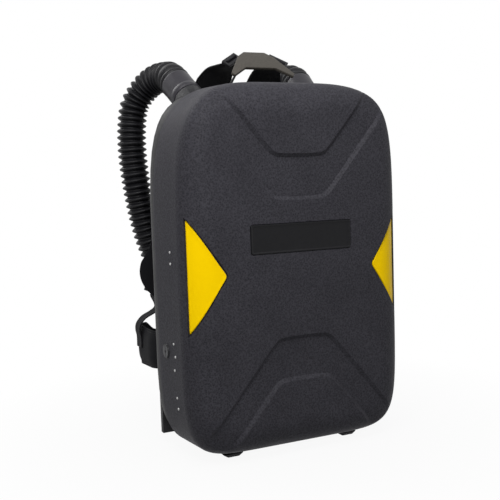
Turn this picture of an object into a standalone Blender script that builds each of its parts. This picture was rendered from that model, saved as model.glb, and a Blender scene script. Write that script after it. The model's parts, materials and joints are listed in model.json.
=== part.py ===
"""Closed-circuit breathing apparatus worn on the back: case, hoses, harness and the circuit inside."""

import math

import bmesh
import bpy
from mathutils import Matrix, Vector

# Driving sizes in metres. A depth runs back from the front face of the cover, X to the viewer's right, Z up.
CASE_WIDTH = 0.379
CASE_HEIGHT = 0.565
COVER_DEPTH = 0.125
TRAY_DEPTH = 0.040
HARNESS_DEPTH = 0.127
FOOT_HEIGHT = 0.0056

# Fits
FIT = 0.0003
SLIDE_FIT = 0.0010
LIP_FIT = 0.0030
WALL_FIT = 0.0006

# Cover: wall, side draft, front edge rounding and the powers of its rounded outline
COVER_WALL = 0.005
SIDE_DRAFT = 0.0055
EDGE_ROUND = 0.043
REAR_POWER_TOP = 3.85
REAR_POWER_LOW = 7.0
FRONT_POWER = 9.7
OUTLINE_POINTS = 48
ROUND_STEPS = 6

# Sunken bands, name plate and side panels on the cover
BAND_DEPTH = 0.0025
BAND_CORNER_X = 0.043
BAND_OUTER_RISE = 0.1035
BAND_WIDTH = 0.0605
BAND_SLOPE = 1.2
PLATE_WIDTH = 0.170
PLATE_HEIGHT = 0.045
PLATE_RISE = 0.046
PLATE_RECESS = 0.0020
PLATE_THICK = 0.0014
PANEL_SIDE_MARGIN = 0.0120
PANEL_WIDTH = 0.0585
PANEL_HEIGHT = 0.165
PANEL_DROP = 0.0020
PANEL_RECESS = 0.0018
PANEL_THICK = 0.0012

# Tray behind the cover
TRAY_WALL = 0.0045
TRAY_INSET = 0.003
TRAY_ROUND = 0.022
LIP_LENGTH = 0.020
CORNER_PLATE_MARGIN = 0.0115
CORNER_PLATE_TOP = 0.095
CORNER_PLATE_LOW = 0.015
CORNER_PLATE_THICK = 0.010

# Rivets and quarter-turn locks in the cover's side walls, heights measured from the case's middle
RIVET_FORWARD = 0.0600
RIVET_RISES = (0.0310, 0.0140, -0.1055, -0.1243, -0.1455, -0.1870, -0.2040)
RIVET_HEAD_RADIUS = 0.0030
RIVET_SHANK_RADIUS = 0.0020
RIVET_HEAD_THICK = 0.0012
RAIL_WIDTH = 0.009
RAIL_THICK = 0.0015
RAIL_OVERHANG = 0.008
RAIL_STANDOFF = 0.0016
LOCK_FORWARD = 0.030
LOCK_RISE = -0.1215
LOCK_HEAD_RADIUS = 0.010
LOCK_HEAD_THICK = 0.0025
LOCK_HEAD_FIT = 0.0012
LOCK_SHAFT_RADIUS = 0.005
LOCK_SLOT_WIDTH = 0.002
LOCK_SLOT_DEPTH = 0.0012
CAM_THICK = 0.003
CAM_STANDOFF = 0.006
CAM_HUB_RADIUS = 0.008
CAM_RIM = 0.0035
CAM_HALF_ANGLE = math.radians(25)
CAM_SLOT_END = math.radians(-10)
KEEPER_REACH = 0.018
KEEPER_RADIUS = 0.0025
KEEPER_CLEARANCE = 0.0005

# Feet
FOOT_SIDE_MARGIN = 0.0880
FOOT_TOP_WIDTH = 0.034
FOOT_SOLE_WIDTH = 0.018
FOOT_FRONT = 0.050
FOOT_REAR_MARGIN = 0.004
FOOT_UNDER_COVER = 0.0008

# Hose spigots: place on the tray's top rear edge and direction, pointing back and up
SPIGOT_SHARE = 0.5541
SPIGOT_SWAY = 0.10
SPIGOT_DROP = 0.0030
SPIGOT_BACK = 0.82
SPIGOT_UP = 0.56
SPIGOT_RADIUS = 0.0165
SPIGOT_BORE = 0.0135
SPIGOT_INSIDE = 0.030
SPIGOT_STUB = 0.030
FLANGE_RADIUS = 0.0235
FLANGE_THICK = 0.003
BOSS_RADIUS = 0.026
BOSS_PROUD = 0.003
BOSS_LENGTH = 0.020
CUFF_RADIUS = 0.0255
CUFF_RING_RADIUS = 0.0265
CUFF_RING_LENGTH = 0.006
CUFF_LENGTH = 0.060
CLAMP_WIDTH = 0.010
CLAMP_THICK = 0.0014
CLAMP_OFFSET = 0.006
CLAMP_LUG = 0.008
HOSE_RADIUS = 0.0240

# Breathing hose route on one side after the cuff: distance from the middle, depth and height
HOSE_ROUTE = (
    (0.1150, 0.2470, 0.5965),
    (0.1235, 0.2700, 0.5960),
    (0.1360, 0.2890, 0.5855),
    (0.1485, 0.3005, 0.5675),
    (0.1570, 0.3045, 0.5480),
    (0.1620, 0.3050, 0.5150),
    (0.1630, 0.3045, 0.4750),
    (0.1600, 0.3030, 0.4300),
    (0.1515, 0.3015, 0.3700),
    (0.1380, 0.3005, 0.3150),
    (0.1170, 0.3000, 0.2700),
    (0.0880, 0.3000, 0.2420),
    (0.0590, 0.3000, 0.2300),
)
HOSE_SPAN_STEPS = 2

# Connector where the two hoses meet
CONNECTOR_DEPTH = 0.300
CONNECTOR_Z = 0.228
CONNECTOR_HALF = 0.036
CONNECTOR_RADIUS = 0.0240
CONNECTOR_BORE = 0.018
PORT_RADIUS = 0.0190
PORT_BORE = 0.0150
PORT_LENGTH = 0.038
NUT_RADIUS = 0.0230
NUT_HEIGHT = 0.018
NUT_LOBES = 12
NUT_LIP = 0.003

# Carry handle: a leaning plate, given by its half outline: share of the case's half width, up along the lean
HANDLE_HALF = ((0.1398, 0.0150), (0.2691, -0.0040), (0.2929, 0.0020), (0.1688, 0.0420), (0.0976, 0.0530))
HANDLE_FORWARD = 0.013
HANDLE_RISE = 0.0144
HANDLE_LEAN_BACK = 0.68
HANDLE_LEAN_UP = 0.735
HANDLE_THICK = 0.006
LINK_RADIUS = 0.0022
LINK_SHARE = 0.2533
LINK_BACK = 0.008
LINK_KNEE = 0.006
LINK_HOLD = 0.009
SLIDER_SHARE = 0.2164
SLIDER_UP = 0.041
SLIDER_TILT = math.radians(38)
SLIDER_WIDTH = 0.034
SLIDER_HEIGHT = 0.016
SLIDER_THICK = 0.005
SLIDER_SLOT = 0.005

# Shoulder straps: share of the case's half width, depth behind the case and height, below the slider
STRAP_ROUTE = (
    (0.2270, 0.0250, 0.6000),
    (0.2640, 0.0630, 0.5620),
    (0.3170, 0.0870, 0.5080),
    (0.3910, 0.1000, 0.4450),
    (0.4960, 0.1030, 0.3750),
    (0.6330, 0.0980, 0.3100),
    (0.7600, 0.0870, 0.2560),
)
STRAP_WIDTH = 0.062
STRAP_THICK = 0.012
STRAP_STEPS = 3
STRAP_TUCK = 0.0006
ADJUSTER_LENGTH = 0.024
ADJUSTER_WIDTH = 0.036
ADJUSTER_THICK = 0.007
WEBBING_THICK = 0.0024
WEBBING_WIDTH = 0.025
WEBBING_BULGE = ((0.8443, 0.0840, 0.2130), (0.9340, 0.0840, 0.2040), (0.9921, 0.0840, 0.1850))
WEBBING_TAIL = 0.035
WEBBING_LEAD = 0.006

# Pads and hip belt
PAD_WIDTH = 0.170
PAD_LOW = 0.262
PAD_HEIGHT = 0.238
PAD_THICK = 0.016
LUMBAR_WIDTH = 0.180
LUMBAR_LOW = 0.060
LUMBAR_HEIGHT = 0.140
LUMBAR_THICK = 0.024
PAD_EDGE = 0.006
BELT_LOW = 0.111
BELT_HEIGHT = 0.069
BELT_THICK = 0.010
BELT_STRAP_HEIGHT = 0.040
BELT_CORNER = 0.030
BELT_INWARD = 0.0135
BELT_STEPS = 6
BUCKLE_HALF = 0.042
BUCKLE_THICK = 0.012
BUCKLE_HEIGHT = 0.050
PRONG_REACH = 0.016
PRONG_HEIGHT = 0.030
PRONG_THICK = 0.006

# Oxygen cylinder, lying across the bottom, with its valve and reducer
CYLINDER_RADIUS = 0.050
CYLINDER_WALL = 0.005
CYLINDER_LEFT_MARGIN = 0.0495
CYLINDER_RIGHT_MARGIN = 0.1095
CYLINDER_LIFT = 0.038
CYLINDER_STANDOFF = 0.0155
NECK_RADIUS = 0.014
NECK_BORE = 0.008
NECK_LENGTH = 0.010
CRADLE_WIDTH = 0.080
CRADLE_HALF_HEIGHT = 0.046
CRADLE_WRAP = 0.025
BAND_STRAP_WIDTH = 0.018
BAND_STRAP_THICK = 0.002
BAND_STRAP_GAP = 0.006
BAND_FOOT = 0.012
VALVE_RADIUS = 0.0135
VALVE_LENGTH = 0.038
VALVE_PLUG = 0.014
VALVE_STUB_RADIUS = 0.009
VALVE_STUB_RISE = 0.0185
SPINDLE_RADIUS = 0.004
SPINDLE_FIT = 0.0003
SPINDLE_LENGTH = 0.012
WHEEL_RADIUS = 0.021
WHEEL_THICK = 0.016
WHEEL_LOBES = 8
WHEEL_GAP = 0.001
REDUCER_RADIUS = 0.019
REDUCER_NUT_RADIUS = 0.0130
REDUCER_NUT_HEIGHT = 0.010
REDUCER_HEIGHT = 0.036
BUTTON_RADIUS = 0.0060
BUTTON_TRAVEL = 0.004
BUTTON_LENGTH = 0.014
BUTTON_PROUD = 0.007

# Absorber, cooler and breathing bag above the cylinder
CANISTER_GAP = 0.020
ABSORBER_INNER_X = 0.005
ABSORBER_SIDE_MARGIN = 0.0295
ABSORBER_HEIGHT = 0.190
ABSORBER_FRONT = 0.030
ABSORBER_EDGE = 0.008
COOLER_INNER_X = 0.022
COOLER_WALL = 0.003
COOLER_SIDE_MARGIN = 0.0365
COOLER_FRONT = 0.032
LID_THICK = 0.012
LID_PLUG = 0.010
LID_GRIP_HEIGHT = 0.006
LID_GRIP_WIDTH = 0.014
VALVE_SPACE = 0.030
BAG_SIDE_MARGIN = 0.1085
BAG_FRONT = 0.035
BAG_TOP_MARGIN = 0.050
BAG_EDGE = 0.012
BAG_SLOPE = math.radians(19)
BAG_PLATE_OVERLAP = 0.010
BAG_PLATE_THICK = 0.004
BAG_PLATE_TAB = 0.016
BAG_PLATE_CLEARANCE = 0.0022
HINGE_HALF = 0.028
HINGE_RISE = 0.0075
HINGE_PIN_RADIUS = 0.003
HINGE_PIN_FIT = 0.0003
HINGE_BARREL = 0.006
HINGE_EAR = 0.006
HINGE_PLATE = 0.003
DUCT_RADIUS = 0.013
DUCT_SIDE_MARGIN = 0.0695
DUCT_STANDOFF = 0.0555
DUCT_BOSS_RADIUS = 0.016
DUCT_BOSS_RISE = 0.022
DEMAND_FROM_DUCT = 0.085
DEMAND_HALF = 0.020
DEMAND_RADIUS = 0.0115
LEVER_CLEARANCE = 0.0038
LEVER_BACK = 0.018
LEVER_RADIUS = 0.0025
LEVER_THICK = 0.002
LEVER_DROP = 0.018
LEVER_HALF = 0.012
LEVER_EAR = 0.004
RELIEF_FROM_DUCT = 0.043
RELIEF_RADIUS = 0.0125
RELIEF_STANDOFF = 0.0565
RELIEF_LENGTH = 0.032
PLUNGER_RADIUS = 0.0055
PLUNGER_TRAVEL = 0.003
PLUNGER_LENGTH = 0.014
PLUNGER_PROUD = 0.005
BORE_FIT = 0.0003
DOSING_RADIUS = 0.003
DOSING_X = -0.0065

# Worked out from the driving sizes
FRONT_Y = -(COVER_DEPTH + TRAY_DEPTH + HARNESS_DEPTH) / 2
HALF_WIDTH = CASE_WIDTH / 2
HALF_HEIGHT = CASE_HEIGHT / 2
MID_Z = FOOT_HEIGHT + HALF_HEIGHT
CASE_DEPTH = COVER_DEPTH + TRAY_DEPTH
TRAY_FLOOR = CASE_DEPTH - TRAY_WALL
LIP_INSET = SIDE_DRAFT * LIP_LENGTH / (COVER_DEPTH - EDGE_ROUND) + COVER_WALL + LIP_FIT
TRAY_INNER_INSET = LIP_INSET + TRAY_WALL
PANEL_OUTER_X = HALF_WIDTH - PANEL_SIDE_MARGIN
CORNER_PLATE_X = HALF_WIDTH - CORNER_PLATE_MARGIN
RIVET_DEPTH = COVER_DEPTH - RIVET_FORWARD
LOCK_DEPTH = COVER_DEPTH - LOCK_FORWARD
FOOT_X = HALF_WIDTH - FOOT_SIDE_MARGIN
SPIGOT_X = HALF_WIDTH * SPIGOT_SHARE
LINK_X = HALF_WIDTH * LINK_SHARE
SLIDER_ACROSS = HALF_WIDTH * SLIDER_SHARE
CYLINDER_LENGTH = CASE_WIDTH - CYLINDER_LEFT_MARGIN - CYLINDER_RIGHT_MARGIN
CYLINDER_DEPTH = TRAY_FLOOR - CYLINDER_STANDOFF - CYLINDER_RADIUS
COOLER_RADIUS = (HALF_WIDTH - COOLER_SIDE_MARGIN - COOLER_INNER_X) / 2
BAG_HALF_WIDTH = HALF_WIDTH - BAG_SIDE_MARGIN
BAG_PLATE_HALF = BAG_HALF_WIDTH - BAG_PLATE_OVERLAP
BELT_OUT_X = HALF_WIDTH - BELT_INWARD
DUCT_X = HALF_WIDTH - DUCT_SIDE_MARGIN
DUCT_DEPTH = TRAY_FLOOR - DUCT_STANDOFF
DEMAND_X = DUCT_X - DEMAND_FROM_DUCT
RELIEF_X = DUCT_X - RELIEF_FROM_DUCT
RELIEF_FRONT = TRAY_FLOOR - RELIEF_STANDOFF - RELIEF_LENGTH
SIDES = (("left", -1), ("right", 1))

# Finishes: colour, roughness and metallic value
CHARCOAL = ((0.045, 0.045, 0.050), 0.62, 0.0)
BLACK_PLASTIC = ((0.016, 0.016, 0.018), 0.50, 0.0)
YELLOW = ((0.86, 0.62, 0.006), 0.38, 0.0)
STEEL = ((0.62, 0.62, 0.60), 0.30, 1.0)
DARK_STEEL = ((0.035, 0.035, 0.038), 0.42, 0.0)
BRASS = ((0.72, 0.58, 0.30), 0.32, 1.0)
RUBBER = ((0.018, 0.018, 0.020), 0.58, 0.0)
GREY_RUBBER = ((0.055, 0.052, 0.055), 0.52, 0.0)
TAUPE = ((0.135, 0.125, 0.105), 0.45, 0.0)
WEBBING = ((0.012, 0.012, 0.014), 0.85, 0.0)
FOAM = ((0.020, 0.020, 0.022), 0.90, 0.0)
CYLINDER_PAINT = ((0.18, 0.32, 0.42), 0.35, 0.0)
GREEN_PLASTIC = ((0.10, 0.22, 0.16), 0.50, 0.0)
PALE_PLASTIC = ((0.55, 0.56, 0.55), 0.48, 0.0)
BAG_RUBBER = ((0.10, 0.10, 0.11), 0.65, 0.0)


def clear_scene():
    for obj in list(bpy.data.objects):
        bpy.data.objects.remove(obj, do_unlink=True)


def new_collection(name):
    collection = bpy.data.collections.new(name)
    bpy.context.scene.collection.children.link(collection)
    return collection


clear_scene()
PARTS = new_collection("breathing_apparatus")
CUTTERS = new_collection("cutters")


def place(across, depth, height):
    """A point given by its distance across, its depth behind the cover's front and its height."""
    return Vector((across, FRONT_Y + depth, height))


def add_object(name, data, finish):
    """A part with a finish gets its own material; a cutter has none and is kept out of renders."""
    obj = bpy.data.objects.new(name, data)
    if finish is None:
        CUTTERS.objects.link(obj)
        obj.hide_render = True
        obj.display_type = "WIRE"
        return obj
    PARTS.objects.link(obj)
    colour, roughness, metallic = finish
    material = bpy.data.materials.new(name)
    material.use_nodes = True
    shader = material.node_tree.nodes["Principled BSDF"]
    shader.inputs["Base Color"].default_value = (*colour, 1.0)
    shader.inputs["Roughness"].default_value = roughness
    shader.inputs["Metallic"].default_value = metallic
    data.materials.append(material)
    return obj


def mesh_object(name, bm, finish=None):
    bmesh.ops.recalc_face_normals(bm, faces=bm.faces[:])
    mesh = bpy.data.meshes.new(name)
    bm.to_mesh(mesh)
    bm.free()
    return add_object(name, mesh, finish)


def loft(name, rings, finish=None):
    """A closed body through rings of points, with its first and last ring filled."""
    bm = bmesh.new()
    loops = [[bm.verts.new(point) for point in ring] for ring in rings]
    count = len(loops[0])
    for first, second in zip(loops, loops[1:]):
        for i in range(count):
            j = (i + 1) % count
            bm.faces.new((first[i], first[j], second[j], second[i]))
    bm.faces.new(loops[0])
    bm.faces.new(loops[-1])
    return mesh_object(name, bm, finish)


def prism(name, points, along, finish=None):
    """A flat outline pushed along a direction."""
    bm = bmesh.new()
    face = bm.faces.new([bm.verts.new(point) for point in points])
    made = bmesh.ops.extrude_face_region(bm, geom=[face])
    moved = [item for item in made["geom"] if isinstance(item, bmesh.types.BMVert)]
    bmesh.ops.translate(bm, vec=along, verts=moved)
    return mesh_object(name, bm, finish)


def block(name, low, high, finish=None, edge=0.0):
    """A box between two corners, with its edges rounded if a radius is given."""
    bm = bmesh.new()
    size = high - low
    matrix = Matrix.Translation((low + high) / 2) @ Matrix.Diagonal((*size, 1.0))
    bmesh.ops.create_cube(bm, size=1.0, matrix=matrix)
    obj = mesh_object(name, bm, finish)
    if edge:
        bevel = obj.modifiers.new("rounded edges", "BEVEL")
        bevel.width = edge
        bevel.segments = 3
    return obj


def turn_to(direction):
    return direction.to_track_quat("Z", "Y").to_matrix().to_4x4()


def rod(name, start, end, radius, finish=None, sides=24):
    bm = bmesh.new()
    line = end - start
    matrix = Matrix.Translation((start + end) / 2) @ turn_to(line)
    bmesh.ops.create_cone(
        bm, cap_ends=True, segments=sides, radius1=radius, radius2=radius, depth=line.length, matrix=matrix
    )
    obj = mesh_object(name, bm, finish)
    obj.data.shade_smooth()
    obj.data.set_sharp_from_angle(angle=math.radians(40))
    return obj


def turned(name, profile, origin, direction, finish=None, steps=32, closed=False):
    """A profile of radius and height, run from top to bottom on its outer side, turned about a direction."""
    bm = bmesh.new()
    points = [bm.verts.new((radius, 0.0, height)) for radius, height in profile]
    for first, second in zip(points, points[1:]):
        bm.edges.new((first, second))
    if closed:
        bm.edges.new((points[-1], points[0]))
    mesh = bpy.data.meshes.new(name)
    bm.to_mesh(mesh)
    bm.free()
    obj = add_object(name, mesh, finish)
    obj.matrix_world = Matrix.Translation(origin) @ turn_to(direction)
    screw = obj.modifiers.new("turned", "SCREW")
    screw.axis = "Z"
    screw.steps = steps
    screw.render_steps = steps
    screw.use_merge_vertices = True
    screw.merge_threshold = 0.00001
    return obj


def boolean(obj, other, operation="DIFFERENCE"):
    modifier = obj.modifiers.new(f"{operation.lower()} {other.name}", "BOOLEAN")
    modifier.operation = operation
    modifier.solver = "EXACT"
    modifier.object = other


def axis_empty(name, where):
    """An empty on a joint's axis, which carries what turns or slides there."""
    empty = bpy.data.objects.new(name, None)
    PARTS.objects.link(empty)
    empty.location = where
    return empty


def hang(obj, empty):
    """Parents a piece, and all that cuts or joins it, to an empty."""
    obj.parent = empty
    for modifier in obj.modifiers:
        if modifier.type == "BOOLEAN":
            hang(modifier.object, empty)


def hang_in_place(name, where, *pieces):
    """Hangs pieces that are already placed on a new empty, without moving them."""
    empty = axis_empty(name, where)
    for piece in pieces:
        hang(piece, empty)
        for carried in [piece, *cutters_of(piece)]:
            carried.matrix_parent_inverse = Matrix.Translation(-where)
    return empty


def cutters_of(obj):
    found = []
    for modifier in obj.modifiers:
        if modifier.type == "BOOLEAN":
            found += [modifier.object, *cutters_of(modifier.object)]
    return found


def smooth_line(points, steps):
    """Points on a smooth curve that passes through all the given ones."""
    ends = [2 * points[0] - points[1], *points, 2 * points[-1] - points[-2]]
    line = []
    for before, start, end, after in zip(ends, ends[1:], ends[2:], ends[3:]):
        for step in range(steps):
            t = step / steps
            line.append(
                0.5
                * (
                    2 * start
                    + (end - before) * t
                    + (2 * before - 5 * start + 4 * end - after) * t**2
                    + (3 * start - before - 3 * end + after) * t**3
                )
            )
    return [*line, points[-1]]


def rounded_line(points, bend, steps=4):
    """Straight runs between points, with each corner rounded off."""
    line = [points[0]]
    for before, corner, after in zip(points, points[1:], points[2:]):
        start = corner + (before - corner).normalized() * bend
        end = corner + (after - corner).normalized() * bend
        for i in range(steps + 1):
            t = i / steps
            line.append((1 - t) ** 2 * start + 2 * t * (1 - t) * corner + t**2 * end)
    return [*line, points[-1]]


def tube(name, points, radius, finish, resolution=3):
    """A round tube along points, made as a curve and turned into a mesh with its ends filled."""
    curve = bpy.data.curves.new(f"{name}_line", "CURVE")
    curve.dimensions = "3D"
    curve.bevel_depth = radius
    curve.bevel_resolution = resolution
    curve.use_fill_caps = True
    spline = curve.splines.new("POLY")
    spline.points.add(len(points) - 1)
    for point, where in zip(spline.points, points):
        point.co = (*where, 1.0)
    drawn = add_object(f"{name}_line", curve, None)
    bm = bmesh.new()
    bm.from_mesh(bpy.data.meshes.new_from_object(drawn))
    bpy.data.objects.remove(drawn, do_unlink=True)
    bmesh.ops.remove_doubles(bm, verts=bm.verts[:], dist=0.00001)
    return mesh_object(name, bm, finish)


def ribbon(name, line, width_axes, widths, thickness, finish):
    """A flat band along a line; the width axis and width may change from point to point."""
    rings = []
    for i, point in enumerate(line):
        ahead = line[min(i + 1, len(line) - 1)] - line[max(i - 1, 0)]
        across = width_axes[i] - width_axes[i].project(ahead)
        across = across.normalized() * widths[i] / 2
        out = ahead.cross(across).normalized() * thickness / 2
        rings.append((point - across - out, point + across - out, point + across + out, point - across + out))
    return loft(name, rings, finish)


def arc(radius, start, end, steps):
    """Points of an arc as pairs of sine and cosine times the radius."""
    angles = [start + (end - start) * i / steps for i in range(steps + 1)]
    return [(radius * math.sin(angle), radius * math.cos(angle)) for angle in angles]


def powers(inset):
    """The outline grows squarer towards the front face."""
    share = min(inset / (SIDE_DRAFT + EDGE_ROUND), 1.0)
    top = REAR_POWER_TOP + (FRONT_POWER - REAR_POWER_TOP) * share
    low = REAR_POWER_LOW + (FRONT_POWER - REAR_POWER_LOW) * share
    return top, low


def outline_ring(inset, depth):
    """The case's rounded outline, drawn in by an inset, at a depth."""
    ring = []
    for i in range(OUTLINE_POINTS):
        angle = 2 * math.pi * i / OUTLINE_POINTS
        power = powers(inset)[0 if math.sin(angle) >= 0 else 1]
        across = math.copysign(abs(math.cos(angle)) ** (2 / power), math.cos(angle))
        up = math.copysign(abs(math.sin(angle)) ** (2 / power), math.sin(angle))
        ring.append(place((HALF_WIDTH - inset) * across, depth, MID_Z + (HALF_HEIGHT - inset) * up))
    return ring


def wall_x(rise, inset):
    """Half the outline's width at a height above the case's middle."""
    power = powers(inset)[0 if rise >= 0 else 1]
    share = min(abs(rise) / (HALF_HEIGHT - inset), 1.0)
    return (HALF_WIDTH - inset) * (1 - share**power) ** (1 / power)


def wall_z(across, inset, upper):
    """The outline's height at a distance across, on its upper or lower side."""
    power = powers(inset)[0 if upper else 1]
    share = min(abs(across) / (HALF_WIDTH - inset), 1.0)
    rise = (HALF_HEIGHT - inset) * (1 - share**power) ** (1 / power)
    return MID_Z + (rise if upper else -rise)


def side_inset(depth):
    """How far the cover's outer side wall is drawn in at a depth."""
    if depth >= EDGE_ROUND:
        return SIDE_DRAFT * (COVER_DEPTH - depth) / (COVER_DEPTH - EDGE_ROUND)
    sine = 1 - depth / EDGE_ROUND
    return SIDE_DRAFT + EDGE_ROUND * (1 - math.sqrt(1 - sine**2))


def cover_rings(shrink):
    """Rings of the cover's surface from its front face to its rear edge, moved inwards by shrink."""
    radius = EDGE_ROUND - shrink
    rings = []
    for i in range(ROUND_STEPS + 1):
        angle = math.pi / 2 * (1 - i / ROUND_STEPS)
        inset = SIDE_DRAFT + shrink + radius * (1 - math.cos(angle))
        rings.append(outline_ring(inset, shrink + radius * (1 - math.sin(angle))))
    rings.append(outline_ring(shrink, COVER_DEPTH))
    return rings


def band_outline(sign):
    """The sunken V band above or below the middle of the cover's face."""
    far = HALF_HEIGHT + EDGE_ROUND
    inner_rise = BAND_OUTER_RISE + BAND_WIDTH
    half = [
        (BAND_CORNER_X, BAND_OUTER_RISE),
        (BAND_CORNER_X + (far - BAND_OUTER_RISE) / BAND_SLOPE, far),
        (BAND_CORNER_X + (far - inner_rise) / BAND_SLOPE, far),
        (BAND_CORNER_X, inner_rise),
    ]
    whole = half + [(-across, rise) for across, rise in reversed(half)]
    return [place(across, -EDGE_ROUND, MID_Z + sign * rise) for across, rise in whole]


def panel_outline(sign, shrink):
    """The triangular side panel, drawn in all round by shrink."""
    half = PANEL_HEIGHT / 2
    lean = math.atan2(half, PANEL_WIDTH)
    outer = PANEL_OUTER_X - shrink
    apex = PANEL_OUTER_X - PANEL_WIDTH + shrink / math.sin(lean)
    tall = (outer - apex) * math.tan(lean)
    middle = MID_Z - PANEL_DROP
    corners = ((apex, 0.0), (outer, tall), (outer, -tall))
    return [place(sign * across, -EDGE_ROUND, middle + rise) for across, rise in corners]


def rivet_place(rise, sign):
    """Where a rivet crosses the cover's side wall, and the wall's outward direction there."""
    inset = side_inset(RIVET_DEPTH)
    step = 0.001
    slope = (wall_x(rise + step, inset) - wall_x(rise - step, inset)) / (2 * step)
    outward = Vector((sign, 0.0, -slope)).normalized()
    return place(sign * wall_x(rise, inset), RIVET_DEPTH, MID_Z + rise), outward


def lock_place(sign):
    """Where a lock's axis crosses the cover's outer side wall."""
    return place(sign * wall_x(LOCK_RISE, side_inset(LOCK_DEPTH)), LOCK_DEPTH, MID_Z + LOCK_RISE)


def build_cover():
    outer = cover_rings(0.0)
    inner = cover_rings(COVER_WALL)
    cover = loft("front_cover", outer + inner[::-1], CHARCOAL)
    deep = Vector((0.0, EDGE_ROUND + BAND_DEPTH, 0.0))
    for name, sign in (("upper", 1), ("lower", -1)):
        boolean(cover, prism(f"{name}_band_cut", band_outline(sign), deep))
    half = Vector((PLATE_WIDTH / 2, 0.0, PLATE_HEIGHT / 2))
    middle = place(0.0, 0.0, MID_Z + PLATE_RISE)
    deep = Vector((0.0, PLATE_RECESS, 0.0))
    front = Vector((0.0, EDGE_ROUND, 0.0))
    boolean(cover, block("plate_cut", middle - half - front, middle + half + deep))
    rim = Vector((FIT, 0.0, FIT))
    seat = Vector((0.0, PLATE_RECESS - FIT, 0.0))
    thick = Vector((0.0, PLATE_THICK, 0.0))
    block("nameplate", middle - half + rim + seat - thick, middle + half - rim + seat, BLACK_PLASTIC)
    build_panels(cover)
    build_rails(cover)
    build_locks(cover)


def build_panels(cover):
    """Yellow panels that follow the cover's rounded sides, each in a shallow recess."""
    reach = Vector((0.0, EDGE_ROUND + COVER_DEPTH / 2, 0.0))
    skin = loft("panel_skin", cover_rings(0.0))
    floor = loft("panel_recess_floor", cover_rings(PANEL_RECESS))
    back = loft("panel_back", cover_rings(PANEL_THICK))
    for name, sign in SIDES:
        recess = prism(f"panel_recess_{name}", panel_outline(sign, 0.0), reach)
        boolean(recess, floor)
        boolean(cover, recess)
        panel = prism(f"side_panel_{name}", panel_outline(sign, FIT), reach, YELLOW)
        boolean(panel, skin, "INTERSECT")
        boolean(panel, back)


def build_rails(cover):
    """A steel strip inside each side wall, with the rivets that hold it."""
    inset = side_inset(RIVET_DEPTH - RAIL_WIDTH / 2) + COVER_WALL + RAIL_STANDOFF + RAIL_THICK / 2
    top = max(RIVET_RISES) + RAIL_OVERHANG
    low = min(RIVET_RISES) - RAIL_OVERHANG
    rises = [top + (low - top) * i / ROUND_STEPS / 2 for i in range(2 * ROUND_STEPS + 1)]
    for name, sign in SIDES:
        line = [place(sign * wall_x(rise, inset), RIVET_DEPTH, MID_Z + rise) for rise in rises]
        axes = [Vector((0.0, 1.0, 0.0))] * len(line)
        rail = ribbon(f"cover_rail_{name}", line, axes, [RAIL_WIDTH] * len(line), RAIL_THICK, STEEL)
        for i, rise in enumerate(RIVET_RISES):
            skin, outward = rivet_place(rise, sign)
            inner = skin - outward * (inset - side_inset(RIVET_DEPTH))
            head = skin + outward * WALL_FIT
            radius = RIVET_SHANK_RADIUS
            tag = f"{name}_{i}"
            tip = head + outward * RIVET_HEAD_THICK / 2
            boolean(rail, rod(f"rivet_shank_{tag}", inner, tip, radius, sides=10), "UNION")
            end = head + outward * RIVET_HEAD_THICK
            cap = rod(f"rivet_head_{tag}", head, end, RIVET_HEAD_RADIUS, sides=12)
            boolean(rail, cap, "UNION")
            hole = rod(f"rivet_hole_{tag}", skin - outward * EDGE_ROUND / 4, tip, radius + FIT, sides=10)
            boolean(cover, hole)


def cam_outline(sign):
    """A hook in the plane of depth and height; its slot takes the keeper pin when the lock is turned."""
    slot = KEEPER_RADIUS + KEEPER_CLEARANCE
    outer = KEEPER_REACH + slot + CAM_RIM
    steps = ROUND_STEPS
    points = arc(CAM_HUB_RADIUS, CAM_HALF_ANGLE, 2 * math.pi - CAM_HALF_ANGLE, 3 * steps)
    points += arc(outer, -CAM_HALF_ANGLE, CAM_HALF_ANGLE, steps)
    points += arc(KEEPER_REACH + slot, CAM_HALF_ANGLE, CAM_SLOT_END, steps)
    points += arc(KEEPER_REACH - slot, CAM_SLOT_END, CAM_HALF_ANGLE, steps)
    across = sign * (wall_x(LOCK_RISE, TRAY_INNER_INSET) - CAM_STANDOFF)
    return [place(across, LOCK_DEPTH + back, MID_Z + LOCK_RISE + up) for back, up in points]


def build_locks(cover):
    for name, sign in SIDES:
        skin = lock_place(sign)
        out = Vector((sign, 0.0, 0.0))
        axle = Vector((sign * (wall_x(LOCK_RISE, TRAY_INNER_INSET) - CAM_STANDOFF), skin.y, skin.z))
        head = skin + out * LOCK_HEAD_FIT
        top = head + out * LOCK_HEAD_THICK
        lock = prism(f"lock_{name}", cam_outline(sign), -out * CAM_THICK, DARK_STEEL)
        inside = axle - out * CAM_THICK / 2
        shaft = rod(f"lock_shaft_{name}", inside, top - out * LOCK_SLOT_DEPTH, LOCK_SHAFT_RADIUS)
        boolean(lock, shaft, "UNION")
        boolean(lock, rod(f"lock_head_{name}", head, top, LOCK_HEAD_RADIUS), "UNION")
        half = Vector((LOCK_SLOT_DEPTH, LOCK_SLOT_WIDTH / 2, LOCK_HEAD_RADIUS * 2))
        boolean(lock, block(f"lock_slot_{name}", top - half, top + half))
        radius = LOCK_SHAFT_RADIUS + FIT
        boolean(cover, rod(f"lock_hole_{name}", skin - out * EDGE_ROUND / 4, top, radius))


def spigot_axis(sign):
    return Vector((sign * SPIGOT_SWAY, SPIGOT_BACK, SPIGOT_UP)).normalized()


def spigot_seat(sign):
    """The middle of the boss face that a spigot's flange sits on, off the tray's rounded top rear edge."""
    top = wall_z(SPIGOT_X, TRAY_INSET, True)
    centre = place(sign * SPIGOT_X, CASE_DEPTH - TRAY_ROUND, top - TRAY_ROUND - SPIGOT_DROP)
    return centre + spigot_axis(sign) * (TRAY_ROUND + BOSS_PROUD)


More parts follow.
